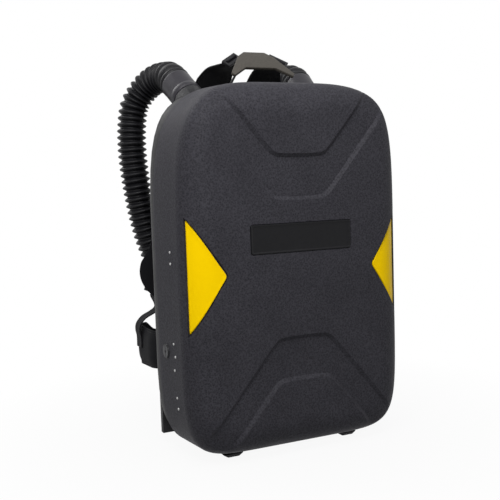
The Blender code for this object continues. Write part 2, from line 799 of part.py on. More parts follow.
def tray_rings():
    """Rings over the tray's outside from its rear face to its lip, and back down its inside."""
    rings = []
    inner_round = TRAY_ROUND - TRAY_WALL
    for i in range(ROUND_STEPS + 1):
        angle = math.pi / 2 * (1 - i / ROUND_STEPS)
        inset = TRAY_INSET + TRAY_ROUND * (1 - math.cos(angle))
        rings.append(outline_ring(inset, CASE_DEPTH - TRAY_ROUND * (1 - math.sin(angle))))
    rings.append(outline_ring(TRAY_INSET, COVER_DEPTH + FIT))
    rings.append(outline_ring(LIP_INSET, COVER_DEPTH + FIT))
    rings.append(outline_ring(LIP_INSET, COVER_DEPTH - LIP_LENGTH))
    rings.append(outline_ring(TRAY_INNER_INSET, COVER_DEPTH - LIP_LENGTH))
    for i in range(ROUND_STEPS + 1):
        angle = math.pi / 2 * i / ROUND_STEPS
        inset = TRAY_INNER_INSET + inner_round * (1 - math.cos(angle))
        rings.append(outline_ring(inset, TRAY_FLOOR - inner_round * (1 - math.sin(angle))))
    return rings


def build_tray():
    tray = loft("back_frame", tray_rings(), BLACK_PLASTIC)
    low = place(-CORNER_PLATE_X, CASE_DEPTH - CORNER_PLATE_THICK, FOOT_HEIGHT + CORNER_PLATE_LOW)
    high = place(CORNER_PLATE_X, CASE_DEPTH, FOOT_HEIGHT + CORNER_PLATE_TOP)
    plate = block("corner_plate", low, high)
    boolean(plate, loft("tray_hollow", [outline_ring(TRAY_INNER_INSET, d) for d in (0.0, TRAY_FLOOR)]))
    boolean(tray, plate, "UNION")
    for name, sign in SIDES:
        axis = spigot_axis(sign)
        seat = spigot_seat(sign)
        boolean(tray, rod(f"spigot_boss_{name}", seat - axis * BOSS_LENGTH, seat, BOSS_RADIUS), "UNION")
        long = axis * (SPIGOT_INSIDE + BOSS_LENGTH)
        boolean(tray, rod(f"spigot_hole_{name}", seat - long, seat + long, SPIGOT_RADIUS + FIT))
        lock = lock_place(sign)
        inner = wall_x(LOCK_RISE, TRAY_INNER_INSET)
        root = Vector((sign * (inner + TRAY_WALL / 2), lock.y + KEEPER_REACH, lock.z))
        tip = Vector((sign * (inner - CAM_STANDOFF - CAM_THICK), root.y, root.z))
        boolean(tray, rod(f"keeper_{name}", root, tip, KEEPER_RADIUS, sides=12), "UNION")


def build_feet():
    """Rubber runners on the tray's underside that reach forward under the cover."""
    rear = CASE_DEPTH - FOOT_REAR_MARGIN
    inner = FOOT_X - FOOT_TOP_WIDTH / 2
    cover_low = wall_z(inner, 0.0, False) - FOOT_UNDER_COVER
    tray_low = wall_z(inner, TRAY_INSET, False) - FIT
    for name, sign in SIDES:
        sole = FOOT_SOLE_WIDTH / 2
        top = FOOT_TOP_WIDTH / 2
        section = ((-sole, 0.0), (sole, 0.0), (top, cover_low), (-top, cover_low))
        points = [place(sign * FOOT_X + across, FOOT_FRONT, up) for across, up in section]
        foot = prism(f"foot_{name}", points, Vector((0.0, rear - FOOT_FRONT, 0.0)), RUBBER)
        low = place(sign * FOOT_X - sole, COVER_DEPTH + SLIDE_FIT, cover_low / 2)
        pad = block(f"foot_pad_{name}", low, place(sign * FOOT_X + sole, CASE_DEPTH - TRAY_ROUND, tray_low))
        boolean(foot, pad, "UNION")


def build_hose_fittings():
    for name, sign in SIDES:
        axis = spigot_axis(sign)
        seat = spigot_seat(sign)
        rim = FIT + FLANGE_THICK
        profile = (
            (SPIGOT_RADIUS, rim + SPIGOT_STUB),
            (SPIGOT_RADIUS, rim),
            (FLANGE_RADIUS, rim),
            (FLANGE_RADIUS, FIT),
            (SPIGOT_RADIUS, FIT),
            (SPIGOT_RADIUS, -SPIGOT_INSIDE),
            (SPIGOT_BORE, -SPIGOT_INSIDE),
            (SPIGOT_BORE, rim + SPIGOT_STUB),
        )
        turned(f"spigot_{name}", profile, seat, axis, BLACK_PLASTIC, closed=True)
        low = rim + FIT
        top = low + CUFF_LENGTH
        bore = SPIGOT_RADIUS + FIT
        profile = (
            (CUFF_RING_RADIUS, top),
            (CUFF_RING_RADIUS, top - CUFF_RING_LENGTH),
            (CUFF_RADIUS, top - CUFF_RING_LENGTH - FIT),
            (CUFF_RADIUS, low),
            (bore, low),
            (bore, top),
        )
        turned(f"hose_cuff_{name}", profile, seat, axis, GREY_RUBBER, closed=True)
        inner = CUFF_RADIUS + FIT
        outer = inner + CLAMP_THICK
        start = low + CLAMP_OFFSET
        profile = ((outer, start + CLAMP_WIDTH), (outer, start), (inner, start), (inner, start + CLAMP_WIDTH))
        clamp = turned(f"hose_clamp_{name}", profile, seat, axis, STEEL, closed=True)
        side = axis.cross(Vector((sign, 0.0, 0.0))).normalized()
        middle = seat + axis * (start + CLAMP_WIDTH / 2)
        lug = rod(
            f"clamp_screw_{name}",
            middle - side * (outer - CLAMP_THICK / 2),
            middle - side * (outer + CLAMP_LUG),
            CLAMP_WIDTH / 2 - FIT,
            sides=12,
        )
        boolean(clamp, lug, "UNION")
        start = seat + axis * (top + FIT)
        lead = start + axis * HOSE_RADIUS / 2
        end = place(sign * (CONNECTOR_HALF + FIT), CONNECTOR_DEPTH, CONNECTOR_Z)
        before = end + Vector((sign * HOSE_RADIUS / 2, 0.0, 0.0))
        route = [place(sign * across, depth, height) for across, depth, height in HOSE_ROUTE]
        line = [start, *smooth_line([lead, *route, before], HOSE_SPAN_STEPS), end]
        tube(f"hose_{name}", line, HOSE_RADIUS, RUBBER)


def lobed_ring(radius, depth, lobes, height, centre):
    """A scalloped outline round an upright axis."""
    count = lobes * 4
    ring = []
    for i in range(count):
        angle = 2 * math.pi * i / count
        reach = radius - depth * (1 - math.cos(lobes * angle)) / 2
        ring.append(centre + Vector((reach * math.cos(angle), reach * math.sin(angle), height)))
    return ring


def build_connector():
    """The piece that joins both hoses and carries the mask coupling below."""
    centre = place(0.0, CONNECTOR_DEPTH, CONNECTOR_Z)
    along = Vector((CONNECTOR_HALF, 0.0, 0.0))
    body = rod("mask_connector", centre - along, centre + along, CONNECTOR_RADIUS, BLACK_PLASTIC, sides=32)
    foot = centre - Vector((0.0, 0.0, PORT_LENGTH + NUT_LIP))
    boolean(body, rod("connector_port", foot, centre, PORT_RADIUS), "UNION")
    boolean(body, rod("connector_bore", centre - along * 1.2, centre + along * 1.2, CONNECTOR_BORE))
    boolean(body, rod("port_bore", foot - Vector((0.0, 0.0, NUT_LIP)), centre, PORT_BORE))
    low = foot - Vector((0.0, 0.0, NUT_LIP + FIT))
    nut = loft(
        "coupling_nut",
        [lobed_ring(NUT_RADIUS, NUT_LIP / 2, NUT_LOBES, h, low) for h in (0.0, NUT_HEIGHT)],
        BLACK_PLASTIC,
    )
    up = Vector((0.0, 0.0, NUT_HEIGHT * 2))
    boolean(nut, rod("nut_bore", low + Vector((0.0, 0.0, NUT_LIP)), low + up, PORT_RADIUS + FIT))
    boolean(nut, rod("nut_mouth", low - up, low + up, PORT_BORE))


def handle_lean():
    return Vector((0.0, HANDLE_LEAN_BACK, HANDLE_LEAN_UP)).normalized()


def handle_base():
    return place(0.0, COVER_DEPTH - HANDLE_FORWARD, MID_Z + HALF_HEIGHT + HANDLE_RISE)


def build_handle():
    lean = handle_lean()
    back = Vector((0.0, lean.z, -lean.y))
    half = [Vector((share * HALF_WIDTH, 0.0, 0.0)) + lean * up for share, up in HANDLE_HALF]
    whole = half + [Vector((-point.x, point.y, point.z)) for point in reversed(half)]
    base = handle_base()
    front = base - back * HANDLE_THICK / 2
    prism("carry_handle", [front + point for point in whole], back * HANDLE_THICK, TAUPE)
    for name, sign in SIDES:
        rear = back * (HANDLE_THICK / 2 + FIT + LINK_RADIUS)
        top = base + Vector((sign * LINK_X, 0.0, 0.0)) + lean * LINK_RADIUS + rear
        tip = top + lean * LINK_HOLD
        foot_z = wall_z(LINK_X, TRAY_INSET, True) + FIT
        foot = place(sign * LINK_X, COVER_DEPTH + LINK_BACK, foot_z)
        knee = foot + Vector((0.0, 0.0, LINK_KNEE))
        tube(f"handle_link_{name}", [tip, top, knee, foot], LINK_RADIUS, STEEL, resolution=2)
        build_slider(name, sign)


def slider_frame(sign):
    """Middle, long direction and rear direction of a strap slider behind the handle's shoulder."""
    lean = handle_lean()
    back = Vector((0.0, lean.z, -lean.y))
    long = Vector((sign * math.cos(SLIDER_TILT), 0.0, 0.0)) - lean * math.sin(SLIDER_TILT)
    middle = handle_base() + Vector((sign * SLIDER_ACROSS, 0.0, 0.0)) + lean * SLIDER_UP
    return middle + back * (HANDLE_THICK / 2 + FIT + SLIDER_THICK / 2), long, back


def build_slider(name, sign):
    middle, long, back = slider_frame(sign)
    short = back.cross(long)

    def bar(tag, length, height, thick, finish=None):
        corner = middle - back * thick / 2
        points = [
            corner + long * a * length / 2 + short * b * height / 2
            for a, b in ((-1, -1), (1, -1), (1, 1), (-1, 1))
        ]
        return prism(tag, points, back * thick, finish)

    slider = bar(f"strap_slider_{name}", SLIDER_WIDTH, SLIDER_HEIGHT, SLIDER_THICK, BLACK_PLASTIC)
    slot = bar(f"slider_slot_{name}", SLIDER_WIDTH - SLIDER_HEIGHT / 2, SLIDER_SLOT, SLIDER_THICK * 2)
    boolean(slider, slot)


def behind_case(sign, share, behind, height):
    """A point of the harness, given by its share of the case's half width and how far it lies behind."""
    return place(sign * share * HALF_WIDTH, CASE_DEPTH + behind, height)


def build_straps():
    """Shoulder straps from the sliders down to their adjusters, and the webbing on to the hip belt."""
    for name, sign in SIDES:
        middle, long, back = slider_frame(sign)
        start = middle + back * (SLIDER_THICK / 2 + STRAP_THICK / 2 - STRAP_TUCK)
        route = [behind_case(sign, *point) for point in STRAP_ROUTE]
        line = smooth_line([start, *route], STRAP_STEPS)
        width_axes = [Vector((1.0, 0.0, 0.0))] * len(line)
        growth = (STRAP_WIDTH - SLIDER_WIDTH) / STRAP_STEPS
        widths = [min(STRAP_WIDTH, SLIDER_WIDTH + growth * i) for i in range(len(line))]
        ribbon(f"shoulder_strap_{name}", line, width_axes, widths, STRAP_THICK, FOAM)
        down = (line[-1] - line[-2]).normalized()
        top = line[-1] + down * FIT
        foot = top + down * ADJUSTER_LENGTH
        axes = width_axes[:2]
        adjuster = ribbon(
            f"strap_adjuster_{name}", [top, foot], axes, [ADJUSTER_WIDTH] * 2, ADJUSTER_THICK, BLACK_PLASTIC
        )
        slot = ribbon(
            f"adjuster_slot_{name}",
            [top + down * ADJUSTER_LENGTH * 0.35, top + down * ADJUSTER_LENGTH * 0.6],
            axes,
            [WEBBING_WIDTH] * 2,
            ADJUSTER_THICK * 2,
            None,
        )
        boolean(adjuster, slot)
        outer = sign * (BELT_OUT_X + BELT_THICK / 2 + FIT + WEBBING_THICK / 2)
        height = BELT_LOW + BELT_HEIGHT
        depth = CASE_DEPTH + WEBBING_BULGE[-1][1]
        bulge = [behind_case(sign, *point) for point in WEBBING_BULGE]
        tail = [place(outer, depth, height - WEBBING_TAIL * i / 2) for i in (0.4, 1, 2)]
        lead = foot + down * WEBBING_LEAD
        run = [foot + down * FIT, *smooth_line([lead, *bulge, tail[0]], STRAP_STEPS), *tail[1:]]
        turn = [Vector((0.0, 1.0, 0.0))] * len(run)
        ribbon(f"lower_strap_{name}", run, turn, [WEBBING_WIDTH] * len(run), WEBBING_THICK, WEBBING)


def build_pads():
    low = place(-PAD_WIDTH / 2, CASE_DEPTH + FIT, PAD_LOW)
    high = place(PAD_WIDTH / 2, CASE_DEPTH + FIT + PAD_THICK, PAD_LOW + PAD_HEIGHT)
    block("back_pad", low, high, FOAM, PAD_EDGE)
    low = place(-LUMBAR_WIDTH / 2, CASE_DEPTH + FIT, LUMBAR_LOW)
    high = place(LUMBAR_WIDTH / 2, CASE_DEPTH + FIT + LUMBAR_THICK, LUMBAR_LOW + LUMBAR_HEIGHT)
    block("lumbar_pad", low, high, FOAM, PAD_EDGE)


def belt_line(sign):
    """The hip belt in plan: out from the lumbar pad, round two corners and in to the buckle."""
    front = CASE_DEPTH + LUMBAR_THICK / 2
    rear = CASE_DEPTH + HARNESS_DEPTH - BUCKLE_THICK / 2
    start = LUMBAR_WIDTH / 2 + FIT
    turn = BELT_OUT_X - BELT_CORNER
    points = [(start, front), ((start + turn) / 2, front)]
    first = arc(BELT_CORNER, 0, math.pi / 2, BELT_STEPS)
    second = arc(BELT_CORNER, math.pi / 2, math.pi, BELT_STEPS)
    points += [(turn + s, front + BELT_CORNER - c) for s, c in first]
    points += [(turn + s, rear - BELT_CORNER - c) for s, c in second]
    points += [((BUCKLE_HALF + turn) / 2, rear), (BUCKLE_HALF + FIT, rear)]
    return [place(sign * across, depth, BELT_LOW + BELT_HEIGHT / 2) for across, depth in points]


def build_belt():
    up = Vector((0.0, 0.0, 1.0))
    middle = BELT_LOW + BELT_HEIGHT / 2
    for name, sign in SIDES:
        line = belt_line(sign)
        padded = len(line) - 2 - BELT_STEPS
        widths = [BELT_HEIGHT if i < padded else BELT_STRAP_HEIGHT for i in range(len(line))]
        ribbon(f"hip_belt_{name}", line, [up] * len(line), widths, BELT_THICK, FOAM)
    rear = CASE_DEPTH + HARNESS_DEPTH
    low = middle - BUCKLE_HEIGHT / 2
    high = middle + BUCKLE_HEIGHT / 2
    socket = block(
        "buckle_socket",
        place(-BUCKLE_HALF, rear - BUCKLE_THICK, low),
        place(-FIT / 2, rear, high),
        BLACK_PLASTIC,
    )
    prong = block(
        "buckle_prong",
        place(FIT / 2, rear - BUCKLE_THICK, low),
        place(BUCKLE_HALF, rear, high),
        BLACK_PLASTIC,
    )
    half = PRONG_HEIGHT / 2
    centre = rear - BUCKLE_THICK / 2
    thick = PRONG_THICK / 2
    tongue = block(
        "prong_tongue",
        place(-PRONG_REACH, centre - thick, middle - half),
        place(PRONG_REACH, centre + thick, middle + half),
    )
    boolean(prong, tongue, "UNION")
    room = block(
        "prong_room",
        place(-PRONG_REACH - FIT, centre - thick - FIT, middle - half - FIT),
        place(PRONG_REACH, centre + thick + FIT, middle + half + FIT),
    )
    boolean(socket, room)


def cylinder_axis():
    """Where the oxygen cylinder's axis runs, as depth and height."""
    return CYLINDER_DEPTH, FOOT_HEIGHT + CYLINDER_LIFT + CYLINDER_RADIUS


def valve_end():
    """How far across the cylinder valve's outer end lies."""
    neck = -HALF_WIDTH + CYLINDER_LEFT_MARGIN + CYLINDER_LENGTH + NECK_LENGTH
    return neck + FIT + VALVE_LENGTH


def button_height():
    """Height of the bypass button, in the middle of the reducer's body."""
    return cylinder_axis()[1] + VALVE_STUB_RISE + FIT + REDUCER_NUT_HEIGHT + REDUCER_HEIGHT / 2


def build_cylinder():
    depth, height = cylinder_axis()
    start = place(-HALF_WIDTH + CYLINDER_LEFT_MARGIN, depth, height)
    along = Vector((1.0, 0.0, 0.0))
    top = CYLINDER_LENGTH
    outer = [(CYLINDER_RADIUS * math.sin(a), 0.5 * CYLINDER_RADIUS * math.cos(a)) for a in dome_angles()]
    shoulder = top - 0.5 * CYLINDER_RADIUS
    base = 0.5 * CYLINDER_RADIUS
    inner_radius = CYLINDER_RADIUS - CYLINDER_WALL
    shrink = inner_radius / CYLINDER_RADIUS
    profile = [(NECK_RADIUS, top + NECK_LENGTH)]
    profile += [(r, shoulder + h) for r, h in outer if r >= NECK_RADIUS]
    profile += [(r, base - h) for r, h in reversed(outer)]
    profile += [(r * shrink, base - h * shrink) for r, h in outer]
    profile += [(r * shrink, shoulder + h * shrink) for r, h in reversed(outer) if r * shrink >= NECK_BORE]
    profile += [(NECK_BORE, top + NECK_LENGTH)]
    turned("oxygen_cylinder", profile, start, along, CYLINDER_PAINT, closed=True)
    build_cradle(start, depth, height)
    build_valve(start + along * (top + NECK_LENGTH), along)


def dome_angles():
    return [math.pi / 2 * i / ROUND_STEPS for i in range(ROUND_STEPS + 1)]


def build_cradle(start, depth, height):
    middle = start.x + CYLINDER_LENGTH / 2
    half = CRADLE_WIDTH / 2
    back = TRAY_FLOOR - FIT
    front = depth + CYLINDER_RADIUS - CRADLE_WRAP
    cradle = block(
        "cylinder_cradle",
        place(middle - half, front, height - CRADLE_HALF_HEIGHT),
        place(middle + half, back, height + CRADLE_HALF_HEIGHT),
        BLACK_PLASTIC,
    )
    seat = rod(
        "cradle_seat",
        place(middle - CRADLE_WIDTH, depth, height),
        place(middle + CRADLE_WIDTH, depth, height),
        CYLINDER_RADIUS + FIT,
        sides=32,
    )
    boolean(cradle, seat)
    steps = 2 * ROUND_STEPS
    inner = (CYLINDER_RADIUS + FIT) / math.cos(math.pi / 2 / steps)
    outer = inner + BAND_STRAP_THICK
    bow_out = [(depth + b, height + u) for u, b in arc(outer, -math.pi / 2, -3 * math.pi / 2, steps)]
    bow_in = [(depth + b, height + u) for u, b in arc(inner, -3 * math.pi / 2, -math.pi / 2, steps)]
    foot = BAND_FOOT
    thick = BAND_STRAP_THICK
    low_foot = [(back - thick, height - inner), (back, height - inner), (back, height - outer - foot * 0.4)]
    low_foot += [(back - thick, height - outer - foot * 0.4), (back - thick, height - outer)]
    high_foot = [(back - thick, height + outer), (back - thick, height + outer + foot)]
    high_foot += [(back, height + outer + foot), (back, height + inner)]
    section = [*low_foot, *bow_out, *high_foot, *bow_in]
    reach = half + BAND_STRAP_GAP
    for name, sign in SIDES:
        across = middle + sign * reach - (BAND_STRAP_WIDTH if sign < 0 else 0.0)
        points = [place(across, d, h) for d, h in section]
        prism(f"cylinder_band_{name}", points, Vector((BAND_STRAP_WIDTH, 0.0, 0.0)), STEEL)


def build_valve(neck, along):
    start = neck + along * FIT
    end = start + along * VALVE_LENGTH
    valve = rod("cylinder_valve", start, end, VALVE_RADIUS, BRASS)
    middle = (start + end) / 2
    boolean(valve, rod("valve_plug", neck - along * VALVE_PLUG, middle, NECK_BORE - FIT), "UNION")
    top = middle + Vector((0.0, 0.0, VALVE_STUB_RISE))
    boolean(valve, rod("valve_stub", middle, top, VALVE_STUB_RADIUS), "UNION")
    socket = rod("spindle_room", end - along * SPINDLE_LENGTH, end + along, SPINDLE_RADIUS + SPINDLE_FIT)
    boolean(valve, socket)
    build_handwheel(end, along)
    build_reducer(top + Vector((0.0, 0.0, FIT)))


def build_handwheel(end, along):
    face = end + along * WHEEL_GAP
    rings = []
    for step in (0.0, WHEEL_THICK):
        flat = lobed_ring(WHEEL_RADIUS, SPINDLE_RADIUS / 2, WHEEL_LOBES, step, Vector())
        rings.append([face + Vector((p.z, p.x, p.y)) for p in flat])
    wheel = loft("valve_handwheel", rings, BLACK_PLASTIC)
    tip = end - along * (SPINDLE_LENGTH - WHEEL_GAP)
    boolean(wheel, rod("wheel_spindle", tip, face + along * WHEEL_THICK / 2, SPINDLE_RADIUS), "UNION")


def build_reducer(foot):
    up = Vector((0.0, 0.0, 1.0))
    top = REDUCER_NUT_HEIGHT + REDUCER_HEIGHT
    profile = (
        (0.0, top),
        (REDUCER_RADIUS, top),
        (REDUCER_RADIUS, REDUCER_NUT_HEIGHT),
        (REDUCER_NUT_RADIUS, REDUCER_NUT_HEIGHT),
        (REDUCER_NUT_RADIUS, 0.0),
        (0.0, 0.0),
    )
    reducer = turned("pressure_reducer", profile, foot, up, BRASS, steps=24)
    middle = Vector((foot.x, foot.y, button_height()))
    front = Vector((0.0, -1.0, 0.0))
    mouth = middle + front * REDUCER_RADIUS
    room = BUTTON_LENGTH - BUTTON_PROUD + BUTTON_TRAVEL + FIT
    hole = rod("button_room", mouth - front * room, mouth + front * room, BUTTON_RADIUS + BORE_FIT)
    boolean(reducer, hole)
    tip = mouth + front * BUTTON_PROUD
    rod("bypass_button", tip - front * BUTTON_LENGTH, tip, BUTTON_RADIUS, YELLOW)


def canister_low():
    return cylinder_axis()[1] + CYLINDER_RADIUS + CANISTER_GAP


def canister_top():
    return canister_low() + ABSORBER_HEIGHT


def bag_low():
    return canister_top() + VALVE_SPACE


def bag_top():
    return MID_Z + HALF_HEIGHT - BAG_TOP_MARGIN


def build_absorber():
    low = place(ABSORBER_INNER_X, ABSORBER_FRONT, canister_low())
    high = place(HALF_WIDTH - ABSORBER_SIDE_MARGIN, TRAY_FLOOR - FIT, canister_top())
    block("absorber_canister", low, high, GREEN_PLASTIC, ABSORBER_EDGE)


def cooler_centre():
    return -COOLER_INNER_X - COOLER_RADIUS, (canister_low() + canister_top()) / 2


def build_cooler():
    across, height = cooler_centre()
    front = Vector((0.0, -1.0, 0.0))
    foot = place(across, TRAY_FLOOR - FIT, height)
    long = TRAY_FLOOR - FIT - COOLER_FRONT
    inner = COOLER_RADIUS - COOLER_WALL
    profile = (
        (COOLER_RADIUS, long),
        (COOLER_RADIUS, 0.0),
        (0.0, 0.0),
        (0.0, COOLER_WALL),
        (inner, COOLER_WALL),
        (inner, long),
    )
    cooler = turned("cooler_canister", profile, foot, front, PALE_PLASTIC, steps=40, closed=True)
    crown = place(-DUCT_X, DUCT_DEPTH, height)
    drop = math.sqrt(COOLER_RADIUS**2 - (DUCT_X + DUCT_BOSS_RADIUS + across) ** 2)
    low = crown + Vector((0.0, 0.0, drop - COOLER_WALL / 2))
    top = crown + Vector((0.0, 0.0, COOLER_RADIUS + DUCT_BOSS_RISE))
    boss = rod("cooler_boss", low, top, DUCT_BOSS_RADIUS)
    boolean(cooler, boss, "UNION")
    face = long + FIT
    grip = face + LID_THICK
    plug = inner - FIT
    profile = (
        (0.0, grip),
        (COOLER_RADIUS, grip),
        (COOLER_RADIUS, face),
        (plug, face),
        (plug, face - LID_PLUG),
        (0.0, face - LID_PLUG),
    )
    lid = turned("cooler_lid", profile, foot, front, BLACK_PLASTIC, steps=40)
    half = Vector((COOLER_RADIUS - LID_GRIP_WIDTH, 0.0, LID_GRIP_WIDTH / 2))
    base = foot + front * (grip - FIT)
    boolean(lid, block("lid_grip", base - half + front * LID_GRIP_HEIGHT, base + half), "UNION")


def hinge_axis():
    """Depth and height of the bag plate's hinge."""
    return BAG_FRONT - FIT - BAG_PLATE_THICK / 2, bag_top() + HINGE_RISE


def bag_face(height):
    """Depth of the emptied bag's sloping front at a height, just behind the resting plate."""
    depth, hinge = hinge_axis()
    off = BAG_PLATE_THICK / 2 + FIT
    along = (hinge + off * math.sin(BAG_SLOPE) - height) / math.cos(BAG_SLOPE)
    return depth + off * math.cos(BAG_SLOPE) + along * math.sin(BAG_SLOPE)


def build_bag():
    """The emptied bag, and the plate that its springs hold against it, hung from the hinge above."""
    back = TRAY_FLOOR - FIT
    low = bag_low()
    top = bag_top()
    side = ((bag_face(top), top), (back, top), (back, low), (bag_face(low), low))
    points = [place(-BAG_HALF_WIDTH, depth, height) for depth, height in side]
    bag = prism("breathing_bag", points, Vector((2 * BAG_HALF_WIDTH, 0.0, 0.0)), BAG_RUBBER)
    rounding = bag.modifiers.new("rounded edges", "BEVEL")
    rounding.width = BAG_EDGE
    rounding.segments = 3
    depth, height = hinge_axis()
    axis = axis_empty("bag_plate_axis", place(0.0, depth, height))
    axis.rotation_euler.x = BAG_SLOPE
    half = BAG_PLATE_THICK / 2
    inner = HINGE_HALF - FIT
    long = (height - low) / math.cos(BAG_SLOPE) - BAG_EDGE / 2

    def slab(name, left, right, drop_low, drop_high, finish=None):
        return block(name, Vector((left, -half, -drop_low)), Vector((right, half, -drop_high)), finish)

    top_drop = HINGE_BARREL + BAG_PLATE_CLEARANCE
    plate = slab("bag_plate", -BAG_PLATE_HALF, BAG_PLATE_HALF, long, top_drop, STEEL)
    boolean(plate, slab("plate_neck", -inner, inner, top_drop + BAG_EDGE, 0.0), "UNION")
    left = DEMAND_X - LEVER_HALF
    tab = slab("plate_tab", left, DEMAND_X + LEVER_HALF, long + BAG_PLATE_TAB, long - BAG_EDGE)
    boolean(plate, tab, "UNION")
    end = Vector((inner, 0.0, 0.0))
    boolean(plate, rod("plate_barrel", -end, end, HINGE_BARREL), "UNION")
    boolean(plate, rod("barrel_bore", -2 * end, 2 * end, HINGE_PIN_RADIUS + HINGE_PIN_FIT))
    hang(plate, axis)
    build_bag_hinge(depth, height)


def build_bag_hinge(depth, height):
    """A bracket from the tray over the bag, with two ears and the hinge pin between them."""
    outer = HINGE_HALF + HINGE_EAR
    low = bag_top() + FIT
    rear = depth + HINGE_BARREL + HINGE_EAR
    bracket = block(
        "bag_hinge",
        place(-outer, rear, low),
        place(outer, TRAY_FLOOR - FIT, low + HINGE_PLATE),
        STEEL,
    )
    for name, sign in SIDES:
        near = min(sign * HINGE_HALF, sign * outer)
        far = max(sign * HINGE_HALF, sign * outer)
        front = depth - HINGE_BARREL
        foot = place(near, front, height - HINGE_BARREL)
        ear = block(f"hinge_ear_{name}", foot, place(far, rear + HINGE_EAR, height + HINGE_BARREL))
        boolean(bracket, ear, "UNION")
    reach = HINGE_HALF + HINGE_EAR / 2
    ends = (place(-reach, depth, height), place(reach, depth, height))
    pin = rod("hinge_pin", *ends, HINGE_PIN_RADIUS, sides=16)
    boolean(bracket, pin, "UNION")


def lever_pivot():
    """Where the demand lever turns, just behind the tab of the resting bag plate."""
    height = canister_top() + FIT + 2 * DEMAND_RADIUS - LEVER_RADIUS
    return place(DEMAND_X, bag_face(height) + LEVER_CLEARANCE, height)


def demand_middle():
    """The middle of the demand valve, behind its lever and on top of the absorber."""
    pivot = lever_pivot()
    return Vector((pivot.x, pivot.y + LEVER_BACK, canister_top() + FIT + DEMAND_RADIUS))


def relief_front():
    return place(RELIEF_X, RELIEF_FRONT, canister_top() + FIT + RELIEF_RADIUS)


def build_valves():
    """Demand valve with its lever and relief valve with its plunger, in the space above the absorber."""
    along = Vector((DEMAND_HALF, 0.0, 0.0))
    middle = demand_middle()
    demand = rod("demand_valve", middle - along, middle + along, DEMAND_RADIUS, BRASS)
    pivot = lever_pivot()
    for name, sign in SIDES:
        near = LEVER_HALF + FIT
        low = Vector((min(sign * near, sign * (near + LEVER_EAR)), -LEVER_RADIUS, -LEVER_RADIUS))
        high = Vector((max(sign * near, sign * (near + LEVER_EAR)), LEVER_BACK, LEVER_RADIUS))
        boolean(demand, block(f"lever_ear_{name}", pivot + low, pivot + high), "UNION")
    side = Vector((LEVER_HALF, 0.0, 0.0))
    lever = rod("demand_lever", pivot - side, pivot + side, LEVER_RADIUS, STEEL, sides=16)
    half = LEVER_THICK / 2
    blade = block(
        "lever_blade",
        pivot - side - Vector((0.0, half, LEVER_DROP)),
        pivot + side + Vector((0.0, half, 0.0)),
    )
    boolean(lever, blade, "UNION")
    front = relief_front()
    back = Vector((0.0, 1.0, 0.0))
    relief = rod("relief_valve", front, front + back * RELIEF_LENGTH, RELIEF_RADIUS, BRASS)
    room = PLUNGER_LENGTH - PLUNGER_PROUD + PLUNGER_TRAVEL + FIT
    boolean(relief, rod("plunger_room", front - back * room, front + back * room, PLUNGER_RADIUS + BORE_FIT))
    tip = front - back * PLUNGER_PROUD
    rod("relief_plunger", tip, tip + back * PLUNGER_LENGTH, PLUNGER_RADIUS, STEEL)


def build_ducts():
    """Breathing ducts from the spigots to the absorber and the cooler, and the oxygen dosing tube."""
    ends = {"left": cooler_centre()[1] + COOLER_RADIUS + DUCT_BOSS_RISE, "right": canister_top()}
    names = {"left": "inhale_duct", "right": "exhale_duct"}
    for name, sign in SIDES:
        axis = spigot_axis(sign)
        start = spigot_seat(sign) - axis * (SPIGOT_INSIDE + FIT)
        end = place(sign * DUCT_X, DUCT_DEPTH, ends[name] + FIT)
        inside = start - axis * 2 * DUCT_RADIUS
        corner = Vector((end.x, end.y, inside.z - 2 * DUCT_RADIUS))
        line = rounded_line([start, inside, corner, end], 1.2 * DUCT_RADIUS)
        tube(names[name], line, DUCT_RADIUS, PALE_PLASTIC)
    depth, height = cylinder_axis()
    low = canister_low() - CANISTER_GAP / 2
    outlet = place(valve_end() - VALVE_LENGTH / 2 - REDUCER_RADIUS - FIT, depth, low)
    inlet = demand_middle() - Vector((DEMAND_HALF + FIT, 0.0, 0.0))
    above = Vector((DOSING_X, inlet.y, inlet.z))
    corners = [outlet, place(DOSING_X, depth, low), above, inlet]
    tube("dosing_tube", rounded_line(corners, 3 * DOSING_RADIUS), DOSING_RADIUS, BRASS, resolution=1)


def build_axes():
    """Empties on the joints' axes, each carrying the pieces that move there."""
    made = bpy.data.objects
    pieces = ["front_cover", "nameplate"]
    pieces += [f"{kind}_{name}" for kind in ("side_panel", "cover_rail") for name, sign in SIDES]
    cover = hang_in_place("cover_axis", place(0.0, COVER_DEPTH, MID_Z), *[made[piece] for piece in pieces])
    for name, sign in SIDES:
        lock = hang_in_place(f"lock_axis_{name}", lock_place(sign), made[f"lock_{name}"])
        lock.parent = cover
        lock.matrix_parent_inverse = Matrix.Translation(-cover.location)
    depth, height = cylinder_axis()
    hang_in_place("handwheel_axis", place(valve_end(), depth, height), made["valve_handwheel"])
    reducer = place(valve_end() - VALVE_LENGTH / 2, depth - REDUCER_RADIUS, button_height())
    hang_in_place("button_axis", reducer, made["bypass_button"])
    hang_in_place("lever_axis", lever_pivot(), made["demand_lever"])
    hang_in_place("plunger_axis", relief_front(), made["relief_plunger"])
    hang_in_place("nut_axis", place(0.0, CONNECTOR_DEPTH, CONNECTOR_Z), made["coupling_nut"])


def main():
    build_cover()
    build_tray()
    build_feet()
    build_hose_fittings()
    build_connector()
    build_handle()
    build_straps()
    build_pads()
    build_belt()
    build_cylinder()
    build_absorber()
    build_cooler()
    build_bag()
    build_valves()
    build_ducts()
    build_axes()


main()
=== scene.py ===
"""Dress for a closed-circuit breathing apparatus: its case, hoses, harness and inner circuit."""

import json
import logging
import math
from dataclasses import dataclass
from enum import Enum
from typing import Sequence

import bmesh
import bpy
from mathutils import Matrix, Vector
from mathutils.geometry import delaunay_2d_cdt


